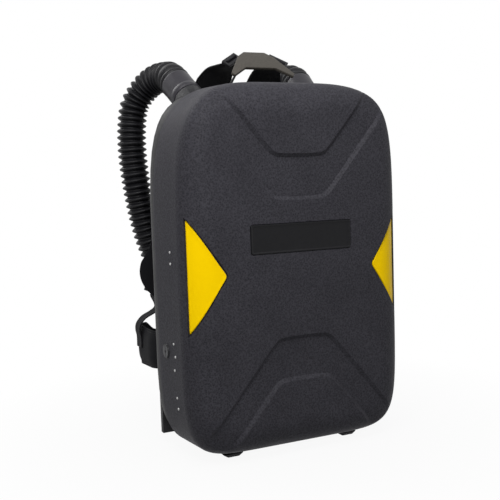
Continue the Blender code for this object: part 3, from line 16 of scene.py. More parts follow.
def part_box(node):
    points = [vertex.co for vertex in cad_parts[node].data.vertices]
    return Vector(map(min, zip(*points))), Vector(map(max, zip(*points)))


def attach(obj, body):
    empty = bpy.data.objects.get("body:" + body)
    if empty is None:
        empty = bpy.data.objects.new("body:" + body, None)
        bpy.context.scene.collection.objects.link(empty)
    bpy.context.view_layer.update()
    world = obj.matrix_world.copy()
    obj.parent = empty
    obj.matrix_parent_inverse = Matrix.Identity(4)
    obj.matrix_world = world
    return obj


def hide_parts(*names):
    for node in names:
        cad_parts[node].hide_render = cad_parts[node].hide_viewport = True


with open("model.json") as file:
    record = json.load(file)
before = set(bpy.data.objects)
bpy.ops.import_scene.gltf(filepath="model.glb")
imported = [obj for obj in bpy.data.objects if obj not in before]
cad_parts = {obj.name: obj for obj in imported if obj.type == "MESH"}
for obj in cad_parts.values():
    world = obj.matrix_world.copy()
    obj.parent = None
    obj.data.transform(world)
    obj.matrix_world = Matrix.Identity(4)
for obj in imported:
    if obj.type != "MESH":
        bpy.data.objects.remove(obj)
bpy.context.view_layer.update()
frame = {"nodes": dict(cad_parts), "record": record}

LOG = logging.getLogger("dress")
BODY_OF = {node: body for body, nodes in frame["record"]["behaviour"]["bodies"].items() for node in nodes}
SIDES = (("left", -1), ("right", 1))
UP = Vector((0.0, 0.0, 1.0))
RIGHT = Vector((1.0, 0.0, 0.0))
BACK = Vector((0.0, 1.0, 0.0))
# Points nearer than this become one, in new shapes and in copies of solids
SAME_POINT = 1e-6
SAME_CORNER = 1e-5
# Radius at the middle of a turned profile
CORE = 0.0001
Flat = tuple[float, float]
Triple = tuple[float, float, float]
Profile = tuple[Flat, ...]


class Grain(Enum):
    """The fine relief that a material shows."""

    MOULDED = "moulded grain"
    SMOOTH = "smooth skin"
    WOVEN = "woven cloth"
    BRUSHED = "brushed metal"


class NodeTree:
    """A short hand for placing shader nodes and joining them."""

    def __init__(self, tree: bpy.types.NodeTree) -> None:
        """Takes the tree that the nodes go into."""
        self.tree = tree

    def put(self, node: bpy.types.Node, values: dict) -> bpy.types.Node:
        """Fills a node's inputs.

        Args:
            node: the node.
            values: input names or numbers, each with a number, a colour or the socket to join.

        Returns:
            The same node.
        """
        for name, value in values.items():
            if isinstance(value, bpy.types.NodeSocket):
                self.tree.links.new(value, node.inputs[name])
            else:
                node.inputs[name].default_value = value
        return node

    def add(self, kind: str, values: dict | None = None, **settings) -> bpy.types.Node:
        """Places a node.

        Args:
            kind: the node's Blender type.
            values: what its inputs get.
            settings: properties of the node itself.

        Returns:
            The new node.
        """
        node = self.tree.nodes.new(kind)
        for name, value in settings.items():
            setattr(node, name, value)
        return self.put(node, values or {})

    def math(self, operation: str, *values: bpy.types.NodeSocket | float) -> bpy.types.NodeSocket:
        """Places a math node and returns its result."""
        return self.add("ShaderNodeMath", dict(enumerate(values)), operation=operation).outputs[0]


class Groups:
    """The shader node groups that the materials share, each built once."""

    made: dict[str, bpy.types.NodeTree] = {}

    @classmethod
    def start(cls, name: str, inputs: dict[str, str], outputs: dict[str, str]) -> tuple:
        """Opens a new group with named sockets.

        Args:
            name: the group's name.
            inputs: socket names with their kinds.
            outputs: socket names with their kinds.

        Returns:
            The node short hand, the sockets of the group's input node and its output node.
        """
        group = bpy.data.node_groups.new(name, "ShaderNodeTree")
        for way, sockets in (("INPUT", inputs), ("OUTPUT", outputs)):
            for socket, kind in sockets.items():
                group.interface.new_socket(socket, in_out=way, socket_type=f"NodeSocket{kind}")
        cls.made[name] = group
        nodes = NodeTree(group)
        return nodes, nodes.add("NodeGroupInput").outputs, nodes.add("NodeGroupOutput")

    @classmethod
    def relief(cls, grain: Grain) -> bpy.types.NodeTree:
        """Gives the group that draws a grain's relief.

        Args:
            grain: which relief.

        Returns:
            A group that takes Vector and Scale and puts out Height and Mask.
        """
        if grain.value in cls.made:
            return cls.made[grain.value]
        outputs = {"Height": "Float", "Mask": "Float"}
        nodes, source, out = cls.start(grain.value, {"Vector": "Vector", "Scale": "Float"}, outputs)
        vector, scale = source["Vector"], source["Scale"]
        if grain is Grain.MOULDED:
            finer, cell_share = 2.6, 0.8
            cells = nodes.add("ShaderNodeTexVoronoi", {"Vector": vector, "Scale": scale}, feature="SMOOTH_F1")
            fine = nodes.math("MULTIPLY", scale, finer)
            noise = nodes.add("ShaderNodeTexNoise", {"Vector": vector, "Scale": fine, "Detail": 3.0})
            height = nodes.math("MULTIPLY_ADD", cells.outputs["Distance"], cell_share, noise.outputs[0])
        elif grain is Grain.WOVEN:
            weave_share = 0.4
            values = {0: vector, "Scale": scale}
            turns = nodes.add("ShaderNodeVectorMath", values, operation="SCALE").outputs[0]
            parts = nodes.add("ShaderNodeSeparateXYZ", {"Vector": turns}).outputs
            warp = nodes.math("SINE", nodes.math("ADD", parts["X"], parts["Y"]))
            checks = nodes.math("MULTIPLY", warp, nodes.math("SINE", parts["Z"]))
            noise = nodes.add("ShaderNodeTexNoise", {"Vector": turns, "Scale": 0.9})
            height = nodes.math("MULTIPLY_ADD", checks, weave_share, noise.outputs[0])
        else:
            stretch = (1.0, 1.0, 0.04) if grain is Grain.BRUSHED else (1.0, 1.0, 1.0)
            drawn = nodes.add("ShaderNodeMapping", {"Vector": vector, "Scale": stretch}).outputs[0]
            values = {"Vector": drawn, "Scale": scale, "Detail": 4.0, "Roughness": 0.6}
            height = nodes.add("ShaderNodeTexNoise", values).outputs[0]
        mask = nodes.add("ShaderNodeMapRange", {"Value": height, "From Min": 0.3, "From Max": 1.0})
        nodes.put(out, {"Height": height, "Mask": mask.outputs[0]})
        return cls.made[grain.value]

    @classmethod
    def tone(cls) -> bpy.types.NodeTree:
        """Gives the group that varies colour and roughness over a surface.

        Returns:
            A group that mixes two colours and two roughnesses by the grain and by broad soft patches.
        """
        name = "soft tone"
        if name in cls.made:
            return cls.made[name]
        kinds = dict.fromkeys(("Mask", "Patch", "Smooth", "Rough"), "Float")
        kinds |= {"Vector": "Vector", "Deep": "Color", "Pale": "Color"}
        nodes, source, out = cls.start(name, kinds, {"Color": "Color", "Roughness": "Float"})
        patch_share, least_share = 0.30, 0.36
        values = {"Vector": source["Vector"], "Scale": source["Patch"], "Detail": 3.0}
        wide = nodes.add("ShaderNodeTexNoise", values).outputs[0]
        even = nodes.math("MULTIPLY_ADD", wide, patch_share, least_share)
        share = nodes.math("MULTIPLY", even, source["Mask"])
        tint = nodes.add("ShaderNodeMix", {0: share, 6: source["Deep"], 7: source["Pale"]}, data_type="RGBA")
        values = {"Value": wide, "From Min": 0.25, "From Max": 0.75}
        values |= {"To Min": source["Smooth"], "To Max": source["Rough"]}
        gloss = nodes.add("ShaderNodeMapRange", values)
        nodes.put(out, {"Color": tint.outputs[2], "Roughness": gloss.outputs[0]})
        return cls.made[name]


@dataclass(frozen=True)
class Finish:
    """A surface finish: its two tones, its gloss and the fine relief that it shows."""

    name: str
    deep: Triple
    pale: Triple
    smooth: float
    rough: float
    grain: Grain
    scale: float
    relief: float
    slot: str
    metallic: float = 0.0
    coat: float = 0.0
    patch: float = 14.0
    strength: float = 0.6
    shine: float = 0.5

    def material(self) -> bpy.types.Material:
        """Gives the finish's material, built the first time it is asked for."""
        label = f"{self.name}_finish"
        found = bpy.data.materials.get(label)
        if found:
            return found
        material = bpy.data.materials.new(label)
        material.use_nodes = True
        nodes = NodeTree(material.node_tree)
        vector = nodes.add("ShaderNodeTexCoord").outputs["Object"]
        values = {"Vector": vector, "Scale": self.scale}
        relief = nodes.add("ShaderNodeGroup", values, node_tree=Groups.relief(self.grain)).outputs
        values = {"Vector": vector, "Mask": relief["Mask"], "Patch": self.patch}
        values |= {"Deep": (*self.deep, 1.0), "Pale": (*self.pale, 1.0)}
        values |= {"Smooth": self.smooth, "Rough": self.rough}
        tone = nodes.add("ShaderNodeGroup", values, node_tree=Groups.tone()).outputs
        values = {"Strength": self.strength, "Distance": self.relief, "Height": relief["Height"]}
        normal = nodes.add("ShaderNodeBump", values).outputs["Normal"]
        values = {"Base Color": tone["Color"], "Roughness": tone["Roughness"], "Normal": normal}
        values |= {"Metallic": self.metallic, "Specular IOR Level": self.shine, "Coat Weight": self.coat}
        nodes.put(material.node_tree.nodes["Principled BSDF"], values)
        return material


MOULDED = Grain.MOULDED
SMOOTH = Grain.SMOOTH
WOVEN = Grain.WOVEN
BRUSHED = Grain.BRUSHED
CASE = Finish(
    "case_moulding", (0.0060, 0.0058, 0.0073), (0.074, 0.072, 0.085), 0.48, 0.62, MOULDED, 400.0, 0.0003,
    "case_moulding", strength=0.7, shine=0.05,
)
TRAY = Finish(
    "tray_moulding", (0.007, 0.007, 0.008), (0.020, 0.020, 0.022), 0.46, 0.60, MOULDED, 520.0, 0.0004,
    "black_moulding", shine=0.16,
)
BLACK = Finish(
    "black_plastic", (0.005, 0.005, 0.006), (0.016, 0.016, 0.018), 0.34, 0.50, SMOOTH, 420.0, 0.0001,
    "black_moulding", shine=0.20,
)
PLATE = Finish(
    "bare_plate", (0.005, 0.005, 0.006), (0.012, 0.012, 0.013), 0.34, 0.46, SMOOTH, 300.0, 0.0001,
    "black_moulding", shine=0.14,
)
YELLOW = Finish(
    "yellow_panel", (0.86, 0.56, 0.0), (0.92, 0.63, 0.001), 0.30, 0.40, SMOOTH, 260.0, 0.0001, "yellow_panel",
    strength=0.3, shine=0.04,
)
STEEL = Finish(
    "bright_steel", (0.50, 0.50, 0.49), (0.78, 0.78, 0.76), 0.20, 0.36, BRUSHED, 900.0, 0.0001, "steel",
    metallic=1.0, strength=0.25,
)
RIVET = Finish(
    "rivet_steel", (0.30, 0.30, 0.30), (0.48, 0.48, 0.47), 0.34, 0.50, SMOOTH, 700.0, 0.0001, "steel",
    metallic=0.6, strength=0.2,
)
LOCK = Finish(
    "lock_steel", (0.020, 0.020, 0.023), (0.045, 0.045, 0.050), 0.44, 0.58, SMOOTH, 600.0, 0.0002,
    "dark_steel", shine=0.3,
)
ALUMINIUM = Finish(
    "satin_aluminium", (0.52, 0.53, 0.54), (0.72, 0.73, 0.74), 0.32, 0.46, BRUSHED, 700.0, 0.0001,
    "aluminium", metallic=1.0, strength=0.3,
)
BRASS = Finish(
    "machined_brass", (0.56, 0.42, 0.19), (0.80, 0.66, 0.38), 0.24, 0.38, BRUSHED, 800.0, 0.0001, "brass",
    metallic=1.0, strength=0.25,
)
HOSE = Finish(
    "hose_rubber", (0.003, 0.003, 0.004), (0.012, 0.012, 0.014), 0.40, 0.56, SMOOTH, 600.0, 0.0002,
    "black_rubber", patch=40.0, shine=0.18,
)
RUBBER = Finish(
    "black_rubber", (0.006, 0.006, 0.007), (0.016, 0.016, 0.018), 0.50, 0.66, SMOOTH, 500.0, 0.0002,
    "black_rubber", shine=0.30,
)
CUFF = Finish(
    "cuff_rubber", (0.015, 0.014, 0.018), (0.041, 0.038, 0.047), 0.34, 0.48, SMOOTH, 240.0, 0.0002,
    "grey_rubber", shine=0.25,
)
BAG = Finish(
    "bag_rubber", (0.055, 0.055, 0.062), (0.11, 0.11, 0.12), 0.52, 0.68, SMOOTH, 300.0, 0.0004, "bag_rubber",
    shine=0.35,
)
HANDLE = Finish(
    "handle_moulding", (0.031, 0.028, 0.024), (0.082, 0.074, 0.063), 0.44, 0.58, MOULDED, 500.0, 0.0003,
    "handle_moulding", shine=0.20,
)
WEBBING = Finish(
    "strap_webbing", (0.002, 0.002, 0.003), (0.010, 0.010, 0.012), 0.70, 0.88, WOVEN, 3600.0, 0.0002,
    "strap_fabric", shine=0.15,
)
FABRIC = Finish(
    "pad_fabric", (0.003, 0.003, 0.004), (0.011, 0.011, 0.013), 0.80, 0.94, WOVEN, 2600.0, 0.0003,
    "strap_fabric", shine=0.15,
)
THREAD = Finish(
    "seam_thread", (0.012, 0.012, 0.013), (0.030, 0.030, 0.033), 0.6, 0.8, WOVEN, 9000.0, 0.0002,
    "strap_fabric", shine=0.2,
)
BLUE = Finish(
    "cylinder_paint", (0.15, 0.28, 0.37), (0.22, 0.37, 0.47), 0.24, 0.36, SMOOTH, 220.0, 0.0001,
    "cylinder_paint", coat=0.4, strength=0.3,
)
GREEN = Finish(
    "green_moulding", (0.080, 0.19, 0.135), (0.13, 0.26, 0.19), 0.40, 0.54, MOULDED, 620.0, 0.0002,
    "green_moulding",
)
PALE = Finish(
    "pale_moulding", (0.47, 0.48, 0.47), (0.60, 0.61, 0.60), 0.38, 0.52, MOULDED, 620.0, 0.0002,
    "pale_moulding",
)


def clamp(share: float) -> float:
    """Keeps a share between 0 and 1."""
    return min(max(share, 0.0), 1.0)


def even_places(points: Sequence[Vector], count: int) -> list[tuple[int, float]]:
    """Finds the places that cut a line into equal lengths.

    Args:
        points: the line's points.
        count: how many lengths.

    Returns:
        For each place, the number of the point before it and the share of the way to the next point.
    """
    walked = [0.0]
    for before, after in zip(points, points[1:]):
        walked.append(walked[-1] + (after - before).length)
    found = []
    at = 0
    for i in range(count + 1):
        goal = walked[-1] * i / count
        while at < len(points) - 2 and walked[at + 1] < goal:
            at += 1
        found.append((at, (goal - walked[at]) / (walked[at + 1] - walked[at])))
    return found


@dataclass(frozen=True)
class CaseShape:
    """The case's rounded outline, and how it draws in towards the cover's front face."""

    half_width: float = 0.1895
    half_height: float = 0.2825
    cover_depth: float = 0.125
    depth: float = 0.165
    front_y: float = -0.146
    middle_z: float = 0.2881
    draft: float = 0.0055
    rounding: float = 0.043
    crown: float = 0.047
    rear_power_top: float = 3.85
    rear_power_low: float = 7.0
    front_power: float = 9.7
    fine: int = 6000
    halvings: int = 26
    slope_step: float = 0.0005

    def place(self, across: float, depth: float, height: float) -> Vector:
        """Gives a point from its distance across, its depth behind the front and its height."""
        return Vector((across, self.front_y + depth, height))

    def mirrored(self, route: Sequence[Triple], sign: int) -> list[Vector]:
        """Gives the points of a route on one side of the case."""
        return [self.place(sign * across, depth, height) for across, depth, height in route]

    def power(self, inset: float, upper: bool) -> float:
        """Gives the power of the outline, which grows squarer towards the front."""
        share = min(inset / (self.draft + self.rounding), 1.0)
        rear = self.rear_power_top if upper else self.rear_power_low
        return rear + (self.front_power - rear) * share

    def outline(self, angle: float, inset: float, depth: float) -> Vector:
        """Gives the point of the outline at an angle, drawn in by an inset, at a depth."""
        power = self.power(inset, math.sin(angle) >= 0)
        across = math.copysign(abs(math.cos(angle)) ** (2 / power), math.cos(angle))
        rise = math.copysign(abs(math.sin(angle)) ** (2 / power), math.sin(angle))
        high = self.middle_z + (self.half_height - inset) * rise
        return self.place((self.half_width - inset) * across, depth, high)

    def ring(self, angles: Sequence[float], inset: float, depth: float) -> list[Vector]:
        """Gives a whole ring of the outline."""
        return [self.outline(angle, inset, depth) for angle in angles]

    def even_angles(self, count: int) -> list[float]:
        """Finds angles that spread points evenly along the outline, from the right side over the top."""
        angles = [2 * math.pi * i / self.fine for i in range(self.fine + 1)]
        places = even_places(self.ring(angles, 0.0, 0.0), count)
        return [angles[at] + (angles[at + 1] - angles[at]) * share for at, share in places[:-1]]

    def turn_ring(self, turn: float, shrink: float = 0.0) -> Flat:
        """Gives inset and depth on the front rounding, from 0 at the side wall to a right angle in front."""
        inset = self.draft + shrink + (self.crown - shrink) * (1 - math.cos(turn))
        return inset, shrink + (self.rounding - shrink) * (1 - math.sin(turn))

    def wall_x(self, rise: float, inset: float) -> float:
        """Gives half the outline's width at a height above the middle."""
        power = self.power(inset, rise >= 0)
        share = min(abs(rise) / (self.half_height - inset), 1.0)
        return (self.half_width - inset) * (1 - share**power) ** (1 / power)

    def side_inset(self, depth: float) -> float:
        """Gives how far the side wall is drawn in at a depth."""
        if depth >= self.rounding:
            return self.draft * (self.cover_depth - depth) / (self.cover_depth - self.rounding)
        sine = 1 - depth / self.rounding
        return self.draft + self.crown * (1 - math.sqrt(1 - sine**2))

    def holds(self, across: float, height: float, inset: float) -> bool:
        """Says whether a spot lies inside the outline when that is drawn in by an inset."""
        rise = height - self.middle_z
        power = self.power(inset, rise >= 0)
        wide = (abs(across) / (self.half_width - inset)) ** power
        return wide + (abs(rise) / (self.half_height - inset)) ** power <= 1.0

    def skin_depth(self, across: float, height: float) -> float:
        """Finds how deep the cover's front skin lies.

        Args:
            across: distance from the middle.
            height: height above the floor.

        Returns:
            The depth behind the front face.
        """
        low = 0.0
        high = self.draft + self.crown
        if self.holds(across, height, high):
            return 0.0
        for _ in range(self.halvings):
            half = (low + high) / 2
            if self.holds(across, height, half):
                low = half
            else:
                high = half
        cosine = 1 - max(low - self.draft, 0.0) / self.crown
        return self.rounding * (1 - math.sqrt(max(1 - cosine**2, 0.0)))

    def on_skin(self, across: float, height: float) -> Vector:
        """Gives the point of the cover's front skin at a spot."""
        return self.place(across, self.skin_depth(across, height), height)

    def skin_out(self, across: float, height: float) -> Vector:
        """Gives the front skin's outward direction at a spot."""
        step = self.slope_step
        lean_x = self.skin_depth(across + step, height) - self.skin_depth(across - step, height)
        lean_z = self.skin_depth(across, height + step) - self.skin_depth(across, height - step)
        return Vector((lean_x / step / 2, -1.0, lean_z / step / 2)).normalized()


SHAPE = CaseShape()


def smooth_line(points: Sequence[Vector], steps: int) -> list[Vector]:
    """Draws a smooth curve through points.

    Args:
        points: the points to pass through.
        steps: pieces between two points.

    Returns:
        The curve's points.
    """
    line = []
    for i in range(len(points) - 1):
        one, two = points[i], points[i + 1]
        before = points[i - 1] if i else one * 2 - two
        after = points[i + 2] if i + 2 < len(points) else two * 2 - one
        for step in range(steps):
            t = step / steps
            pull = (two - before) * t + (before * 2 - one * 5 + two * 4 - after) * t**2
            line.append(one + (pull + (one * 3 - before - two * 3 + after) * t**3) / 2)
    return [*line, points[-1].copy()]


def resample(line: Sequence[Vector], spacing: float) -> list[Vector]:
    """Gives points along a line at an even spacing that divides its length."""
    length = sum((after - before).length for before, after in zip(line, line[1:]))
    places = even_places(line, max(2, round(length / spacing)))
    return [line[at].lerp(line[at + 1], share) for at, share in places]


def heading(line: Sequence[Vector], i: int) -> Vector:
    """Gives a line's direction at one of its points, from the points beside it."""
    return line[min(i + 1, len(line) - 1)] - line[max(i - 1, 0)]


def hoop(middle: Vector, side: Vector, other: Vector, radius: float, count: int) -> list[Vector]:
    """Gives the points of a circle in the plane of two directions."""
    turns = [2 * math.pi * i / count for i in range(count)]
    return [middle + (side * math.cos(turn) + other * math.sin(turn)) * radius for turn in turns]


def spread(value: float | Sequence[float], count: int) -> Sequence[float]:
    """Gives a value for each point of a line, from one for all of them or one for each."""
    return [value] * count if isinstance(value, float) else value


def both_faces(half: Sequence[Flat]) -> list[Flat]:
    """Closes the section of a flat strap from its upper half."""
    return [*half, *((across, -high) for across, high in reversed(half))]


def arc(centre: Flat, radius: float, first: float, last: float, steps: int) -> list[Flat]:
    """Gives points on an arc between two angles."""
    turns = [first + (last - first) * i / steps for i in range(steps + 1)]
    return [(centre[0] + radius * math.cos(turn), centre[1] + radius * math.sin(turn)) for turn in turns]


def offset_outline(corners: Sequence[Flat], reach: float, spacing: float) -> list[Flat]:
    """Draws a convex outline again, a distance outside itself.

    Args:
        corners: the outline's corners, anticlockwise.
        reach: distance outside them, or less than nothing to go inside.
        spacing: the longest step between points.

    Returns:
        The new outline's points.
    """
    moved = []
    for i, corner in enumerate(corners):
        here = Vector(corner)
        into = (here - Vector(corners[i - 1])).normalized()
        away = (Vector(corners[(i + 1) % len(corners)]) - here).normalized()
        outs = Vector((into.y, -into.x)) + Vector((away.y, -away.x))
        moved.append(here + outs * (2 * reach / outs.length_squared))
    points = []
    for one, two in zip(moved, moved[1:] + moved[:1]):
        steps = max(1, math.ceil((two - one).length / spacing))
        points += [tuple(one.lerp(two, step / steps)) for step in range(steps)]
    return points


def beyond(corners: Sequence[Flat], spot: Flat) -> float:
    """Gives how far a spot lies outside a convex outline, or less than nothing inside it."""
    gaps = []
    sides = []
    for before, corner in zip([corners[-1], *corners], corners):
        edge = Vector(corner) - Vector(before)
        off = Vector(spot) - Vector(before)
        along = clamp(off.dot(edge) / edge.length_squared)
        gaps.append((off - edge * along).length)
        sides.append((edge.x * off.y - edge.y * off.x) / edge.length)
    return -min(sides) if min(sides) >= 0 else min(gaps)


def add_object(name: str, data: bpy.types.ID) -> bpy.types.Object:
    """Puts a new object into the scene."""
    made = bpy.data.objects.new(name, data)
    bpy.context.scene.collection.objects.link(made)
    return made


class Shape:
    """A mesh in the making, and the piece of the object that it becomes."""

    # A stitch's sizes, and its form as pairs of place along it and share of its thickness
    STITCH_LENGTH = 0.0036
    STITCH_GAP = 0.0018
    STITCH_THICK = 0.0004
    STITCH: Profile = ((-1.0, 0.3), (-0.6, 1.0), (0.6, 1.0), (1.0, 0.3))

    def __init__(self) -> None:
        """Starts with nothing."""
        self.bm = bmesh.new()

    def loft(self, rings: Sequence[Sequence[Vector]], caps: bool = True, around: bool = False) -> "Shape":
        """Joins rings of the same number of points into a skin.

        Args:
            rings: the closed rings, in order.
            caps: whether the first and last ring are filled.
            around: whether the last ring joins the first.

        Returns:
            The shape itself.
        """
        rows = [[self.bm.verts.new(point) for point in ring] for ring in rings]
        count = len(rows[0])
        pairs = list(zip(rows, rows[1:]))
        if around:
            pairs.append((rows[-1], rows[0]))
        for one, two in pairs:
            for i in range(count):
                j = (i + 1) % count
                self.bm.faces.new((one[i], one[j], two[j], two[i]))
        if caps and not around:
            self.bm.faces.new(rows[0][::-1])
            self.bm.faces.new(rows[-1])
        return self

    def lathe(self, profile: Sequence[Flat], centre: Vector, axis: Vector, sides: int = 48) -> "Shape":
        """Turns a closed profile about an axis.

        Args:
            profile: pairs of radius and distance along the axis.
            centre: where the axis starts.
            axis: its direction.
            sides: how many steps go round.

        Returns:
            The shape itself.
        """
        spin = axis.normalized().to_track_quat("Z", "Y")
        side, other, ahead = (spin @ way for way in (RIGHT, BACK, UP))
        rings = [hoop(centre + ahead * along, side, other, radius, sides) for radius, along in profile]
        return self.loft(rings, around=True)

    def tube(self, line: Sequence[Vector], radii: float | Sequence[float], sides: int) -> "Shape":
        """Runs a round tube along a line, without twist, and returns the shape itself."""
        rings = []
        ahead = (line[1] - line[0]).normalized()
        side = ahead.orthogonal().normalized()
        for i, (point, radius) in enumerate(zip(line, spread(radii, len(line)))):
            new = heading(line, i).normalized()
            side = ahead.rotation_difference(new) @ side
            ahead = new
            rings.append(hoop(point, side, ahead.cross(side), radius, sides))
        return self.loft(rings)

    def ribbon(
        self,
        line: Sequence[Vector],
        axis: Vector,
        widths: float | Sequence[float],
        thicks: float | Sequence[float],
        section: Sequence[Flat],
    ) -> "Shape":
        """Runs a flat section along a line.

        Args:
            line: the middle line.
            axis: the direction of the width.
            widths: the width, one for all points or one for each.
            thicks: the thickness, one for all points or one for each.
            section: the outline of the section, with both halves running from -1 to 1.

        Returns:
            The shape itself.
        """
        rings = []
        sizes = zip(spread(widths, len(line)), spread(thicks, len(line)))
        for i, (point, (width, thick)) in enumerate(zip(line, sizes)):
            ahead = heading(line, i)
            across = (axis - axis.project(ahead)).normalized() * width / 2
            out = ahead.cross(across).normalized() * thick / 2
            rings.append([point + across * a + out * b for a, b in section])
        return self.loft(rings)

    def stitches(self, line: Sequence[Vector], outs: Sequence[Vector]) -> None:
        """Lays a row of sewn stitches on a surface.

        Args:
            line: the row, on the surface.
            outs: the surface's outward direction at each point of the line.
        """
        walked = 0.0
        goal = self.STITCH_LENGTH + self.STITCH_GAP
        for i in range(len(line) - 1):
            step = line[i + 1] - line[i]
            while step.length > 0 and walked + step.length >= goal:
                middle = line[i] + step * ((goal - walked) / step.length)
                along = step.normalized() * (self.STITCH_LENGTH / 2)
                out = outs[i].normalized() * self.STITCH_THICK
                side = along.cross(out).normalized() * self.STITCH_THICK
                rings = []
                for share, size in self.STITCH:
                    core = middle + along * share
                    rings.append([core + way * size for way in (side, out, -side, -out)])
                self.loft(rings)
                goal += self.STITCH_LENGTH + self.STITCH_GAP
            walked += step.length

    def make(
        self, name: str, finish: Finish, body: str = "base", nodes: Sequence[str] = (), sharp: float = 38.0
    ) -> bpy.types.Object:
        """Turns the shape into a piece that rides a body and in the place of its solids.

        Args:
            name: the piece's name.
            finish: what it is made of.
            body: the body that it moves with.
            nodes: the solids that it stands for.
            sharp: edges that bend more than this many degrees stay sharp.

        Returns:
            The new piece.
        """
        bm = self.bm
        bmesh.ops.remove_doubles(bm, verts=bm.verts[:], dist=SAME_POINT)
        bmesh.ops.recalc_face_normals(bm, faces=bm.faces[:])
        for face in bm.faces:
            face.smooth = True
        for edge in bm.edges:
            edge.smooth = edge.calc_face_angle(0.0) < math.radians(sharp)
        mesh = bpy.data.meshes.new(name)
        bm.to_mesh(mesh)
        bm.free()
        mesh.materials.append(finish.material())
        piece = add_object(name, mesh)
        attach(piece, body)
        if nodes:
            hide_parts(*nodes)
        LOG.info("%s: %d points on %s", name, len(mesh.vertices), body)
        return piece


def node_mesh(node: str) -> Shape:
    """Copies a solid's mesh with its flat faces whole again."""
    shape = Shape()
    bm = shape.bm
    bm.from_mesh(frame["nodes"][node].data)
    bmesh.ops.remove_doubles(bm, verts=bm.verts[:], dist=SAME_CORNER)
    bmesh.ops.dissolve_limit(bm, angle_limit=math.radians(1.0), verts=bm.verts[:], edges=bm.edges[:])
    return shape


def refine(node: str, finish: Finish, edge: float, steps: int = 2, sharp: float = 30.0) -> bpy.types.Object:
    """Makes a finer copy of a rigid solid, with its hard edges broken.

    Args:
        node: the solid's name.
        finish: what it is made of.
        edge: the width of the broken edges.
        steps: how many faces each broken edge has.
        sharp: edges that bend more than this many degrees are broken.

    Returns:
        The piece that stands for the solid.
    """
    shape = node_mesh(node)
    bm = shape.bm
    hard = [e for e in bm.edges if e.is_manifold and e.calc_face_angle(0.0) > math.radians(sharp)]
    if edge and hard:
        bmesh.ops.bevel(
            bm, geom=hard, offset=edge, offset_type="OFFSET", segments=steps, profile=0.5,
            affect="EDGES", clamp_overlap=True, loop_slide=True,
        )
    return shape.make(f"{node}_fine", finish, BODY_OF[node], [node], sharp=40.0)


